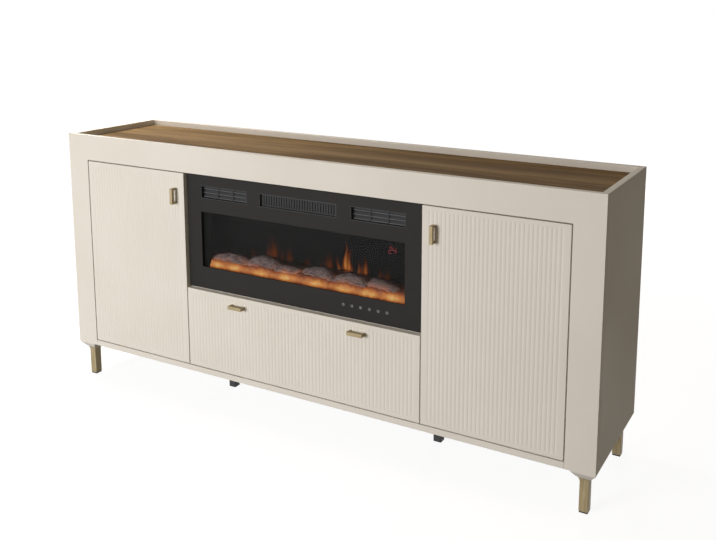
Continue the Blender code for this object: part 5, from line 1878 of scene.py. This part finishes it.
@dataclass
class FireWorks:
    """The chassis and the working parts behind the plate, seen from the back and through the vents."""

    screw: float = 3.6 * MM
    screw_spread: Pair = (0.250, 0.098)
    gland: Pair = (0.180, 0.5233)
    gland_reach: float = 14.0 * MM
    gland_skin: float = 8.7 * MM
    nut: Pair = (12.5 * MM, 6.0 * MM)
    nut_ease: float = 0.8 * MM
    can_ease: float = 1.2 * MM
    bead_depth: float = 0.5 * MM
    bead: tuple[float, ...] = (0.30, 0.32, 0.36, 0.38)

    def build(self) -> None:
        """Finishes the CAD's own works, adds the chassis's fixings and rebuilds the motors as rounded cans.
        """
        refinish(BLACK_SHEET, "fire_chassis")
        refinish(BLACK_ABS, "fan_rotor")
        refinish(FOIL, "flicker_rotor")
        refinish(FINS, "heater_element")
        self.motors()
        self.fixings()

    def fixings(self) -> None:
        """Adds the screws in the chassis's back and the six-sided nut round its cable gland."""
        _, depth, upright = box_of("fire_chassis")
        skin = depth[1] - self.gland_reach
        bm = bmesh.new()
        for across in (-1, 1):
            for rise in (-1, 1):
                spot = (across * self.screw_spread[0], middle(upright) + rise * self.screw_spread[1])
                screw_head(bm, spot, self.screw, Axis.Y, skin, 1)
        add_piece("chassis_screws", bm, ZINC)
        radius, height = self.nut
        ease = self.nut_ease
        profile = [
            (self.gland_skin, 0.0), (radius, 0.0), (radius, height - ease), (radius - ease, height),
            (self.gland_skin, height), (self.gland_skin, 0.0),
        ]
        bm = bmesh.new()
        turned(bm, profile, self.gland, Axis.Y, skin, 6)
        add_piece("gland_nut", bm, BLACK_ABS)

    def motors(self) -> None:
        """Builds both motors as rounded cans with a groove round each."""
        for node in ("flicker_motor", "fan_motor"):
            x, y, z = box_of(node)
            radius = (z[1] - z[0]) / 2
            length = x[1] - x[0]
            ease, inner = self.can_ease, radius - self.bead_depth
            start, floor, rise, end = (length * share for share in self.bead)
            profile = [
                (0.0, 0.0), (radius - ease, 0.0), (radius, ease),
                (radius, start), (inner, floor), (inner, rise), (radius, end),
                (radius, length - ease), (radius - ease, length), (0.0, length),
            ]
            bm = bmesh.new()
            turned(bm, profile, (middle(y), middle(z)), Axis.X, x[0], 32)
            add_piece(f"{node}_can", bm, ZINC, (node,))


# Studio


@dataclass(frozen=True)
class Lamp:
    """A square soft lamp.

    Attributes:
        name: The lamp's name.
        place: Where it hangs.
        size: Length of its sides.
        power: Its power in watts.
    """

    name: str
    place: Size
    size: float
    power: float


@dataclass
class Studio:
    """The pale floor, the soft lights and the camera of the photograph."""

    image: tuple[int, int] = (716, 540)
    focal: float = 880.578
    principal: Pair = (403.597, 136.069)
    place: Size = (1.42644, -2.19504, 1.3053)
    pitch: float = 0.1616
    roll: float = 0.00636
    yaw: float = -0.49034
    sensor: float = 36.0
    lamps: tuple[Lamp, ...] = (
        Lamp("key", (-1.6, -4.2, 1.1), 1.8, 158.0),
        Lamp("above_left", (-1.5, 0.3, 1.75), 0.6, 24.0),
        Lamp("behind", (-0.8, 4.0, 0.42), 0.8, 75.0),
    )
    fill: str = "7D7565"
    aim: Size = (0.0, 0.0, 0.45)
    floor_size: float = 40.0
    floor_grey: float = 0.22

    def build(self) -> None:
        """Sets the view transform and builds the stage."""
        bpy.context.scene.view_settings.view_transform = "Standard"
        self.camera()
        self.world()
        self.floor()
        for lamp in self.lamps:
            self.hang(lamp)

    def camera(self) -> None:
        """Places the camera where the photograph was taken from."""
        turn = Matrix.Rotation(self.roll, 3, "Z") @ Matrix.Rotation(self.pitch, 3, "X")
        look = Matrix(((1.0, 0.0, 0.0), (0.0, 0.0, -1.0), (0.0, 1.0, 0.0)))
        view = turn @ look @ Matrix.Rotation(self.yaw, 3, "Z")
        lens = bpy.data.cameras.new("camera")
        width, height = self.image
        lens.sensor_width = self.sensor
        lens.lens = self.focal * self.sensor / width
        lens.shift_x = (width / 2 - self.principal[0]) / width
        lens.shift_y = (self.principal[1] - height / 2) / width
        camera = put_in_scene("camera", lens)
        flip = Matrix.Diagonal((1.0, -1.0, -1.0))
        camera.matrix_world = Matrix.Translation(self.place) @ (view.transposed() @ flip).to_4x4()
        bpy.context.scene.camera = camera

    def seen_directly(self, tree: NodeTree) -> NodeSocket:
        """Adds a value that is 1 for camera, glossy and transmission rays, and 0 for the rest.

        Args:
            tree: The node tree of a material or of the world.

        Returns:
            The value.
        """
        rays = add_node(tree, "ShaderNodeLightPath").outputs
        either = {0: rays["Is Camera Ray"], 1: rays["Is Glossy Ray"]}
        first = add_node(tree, "ShaderNodeMath", either, operation="MAXIMUM")
        both = {0: first.outputs[0], 1: rays["Is Transmission Ray"]}
        return add_node(tree, "ShaderNodeMath", both, operation="MAXIMUM").outputs[0]

    def world(self) -> None:
        """Makes a white surround that gives the object only a little light."""
        world = bpy.data.worlds.new("surround")
        world.use_nodes = True
        tree = world.node_tree
        sides = {0: self.seen_directly(tree), 6: linear(self.fill), 7: linear("FFFFFF")}
        colour = add_node(tree, "ShaderNodeMix", sides, data_type="RGBA").outputs[2]
        tree.links.new(colour, tree.nodes["Background"].inputs["Color"])
        bpy.context.scene.world = world

    def floor(self) -> None:
        """Lays a pale floor that keeps the object's shadow and fades to white far out."""
        bm = bmesh.new()
        bmesh.ops.create_grid(bm, x_segments=1, y_segments=1, size=self.floor_size)
        mesh = to_mesh(bm, "floor")
        material = bpy.data.materials.new("pale_floor")
        material.use_nodes = True
        tree = material.node_tree
        place = add_node(tree, "ShaderNodeTexCoord").outputs["Object"]
        away = add_node(tree, "ShaderNodeVectorMath", {0: place}, operation="LENGTH").outputs["Value"]
        far = {"Value": away, "From Min": 1.2, "From Max": 3.4, "To Min": 0.90, "To Max": 1.0}
        glow = add_node(tree, "ShaderNodeMapRange", far, interpolation_type="SMOOTHSTEP").outputs[0]
        seen = self.seen_directly(tree)
        power = add_node(tree, "ShaderNodeMath", {0: glow, 1: seen}, operation="MULTIPLY").outputs[0]
        shader = tree.nodes["Principled BSDF"]
        values = {
            "Base Color": (self.floor_grey, self.floor_grey, self.floor_grey, 1.0),
            "Roughness": 1.0,
            "Specular IOR Level": 0.0,
            "Emission Color": (1.0, 1.0, 1.0, 1.0),
        }
        for name, value in values.items():
            shader.inputs[name].default_value = value
        tree.links.new(power, shader.inputs["Emission Strength"])
        mesh.materials.append(material)
        floor = put_in_scene("floor", mesh)

    def hang(self, lamp: Lamp) -> None:
        """Hangs one soft lamp, aimed at the middle of the cabinet.

        Args:
            lamp: The lamp.
        """
        light = bpy.data.lights.new(lamp.name, "AREA")
        light.shape = "SQUARE"
        light.size = lamp.size
        light.energy = lamp.power
        hung = put_in_scene(lamp.name, light)
        aim = Vector(self.aim) - Vector(lamp.place)
        turn = aim.to_track_quat("-Z", "Y").to_matrix().to_4x4()
        hung.matrix_world = Matrix.Translation(lamp.place) @ turn


def main() -> None:
    """Builds every sub-assembly in order."""
    logging.basicConfig(level=logging.INFO, format="%(name)s: %(message)s")
    cabinet = (Carcass(), Feet(), Doors(), Drawer())
    for assembly in (Studio(), *cabinet, FirePlate(), Display(), FireBed(), FireWorks()):
        LOG.info("building %s", type(assembly).__name__)
        assembly.build()


if __name__ == "__main__":
    main()
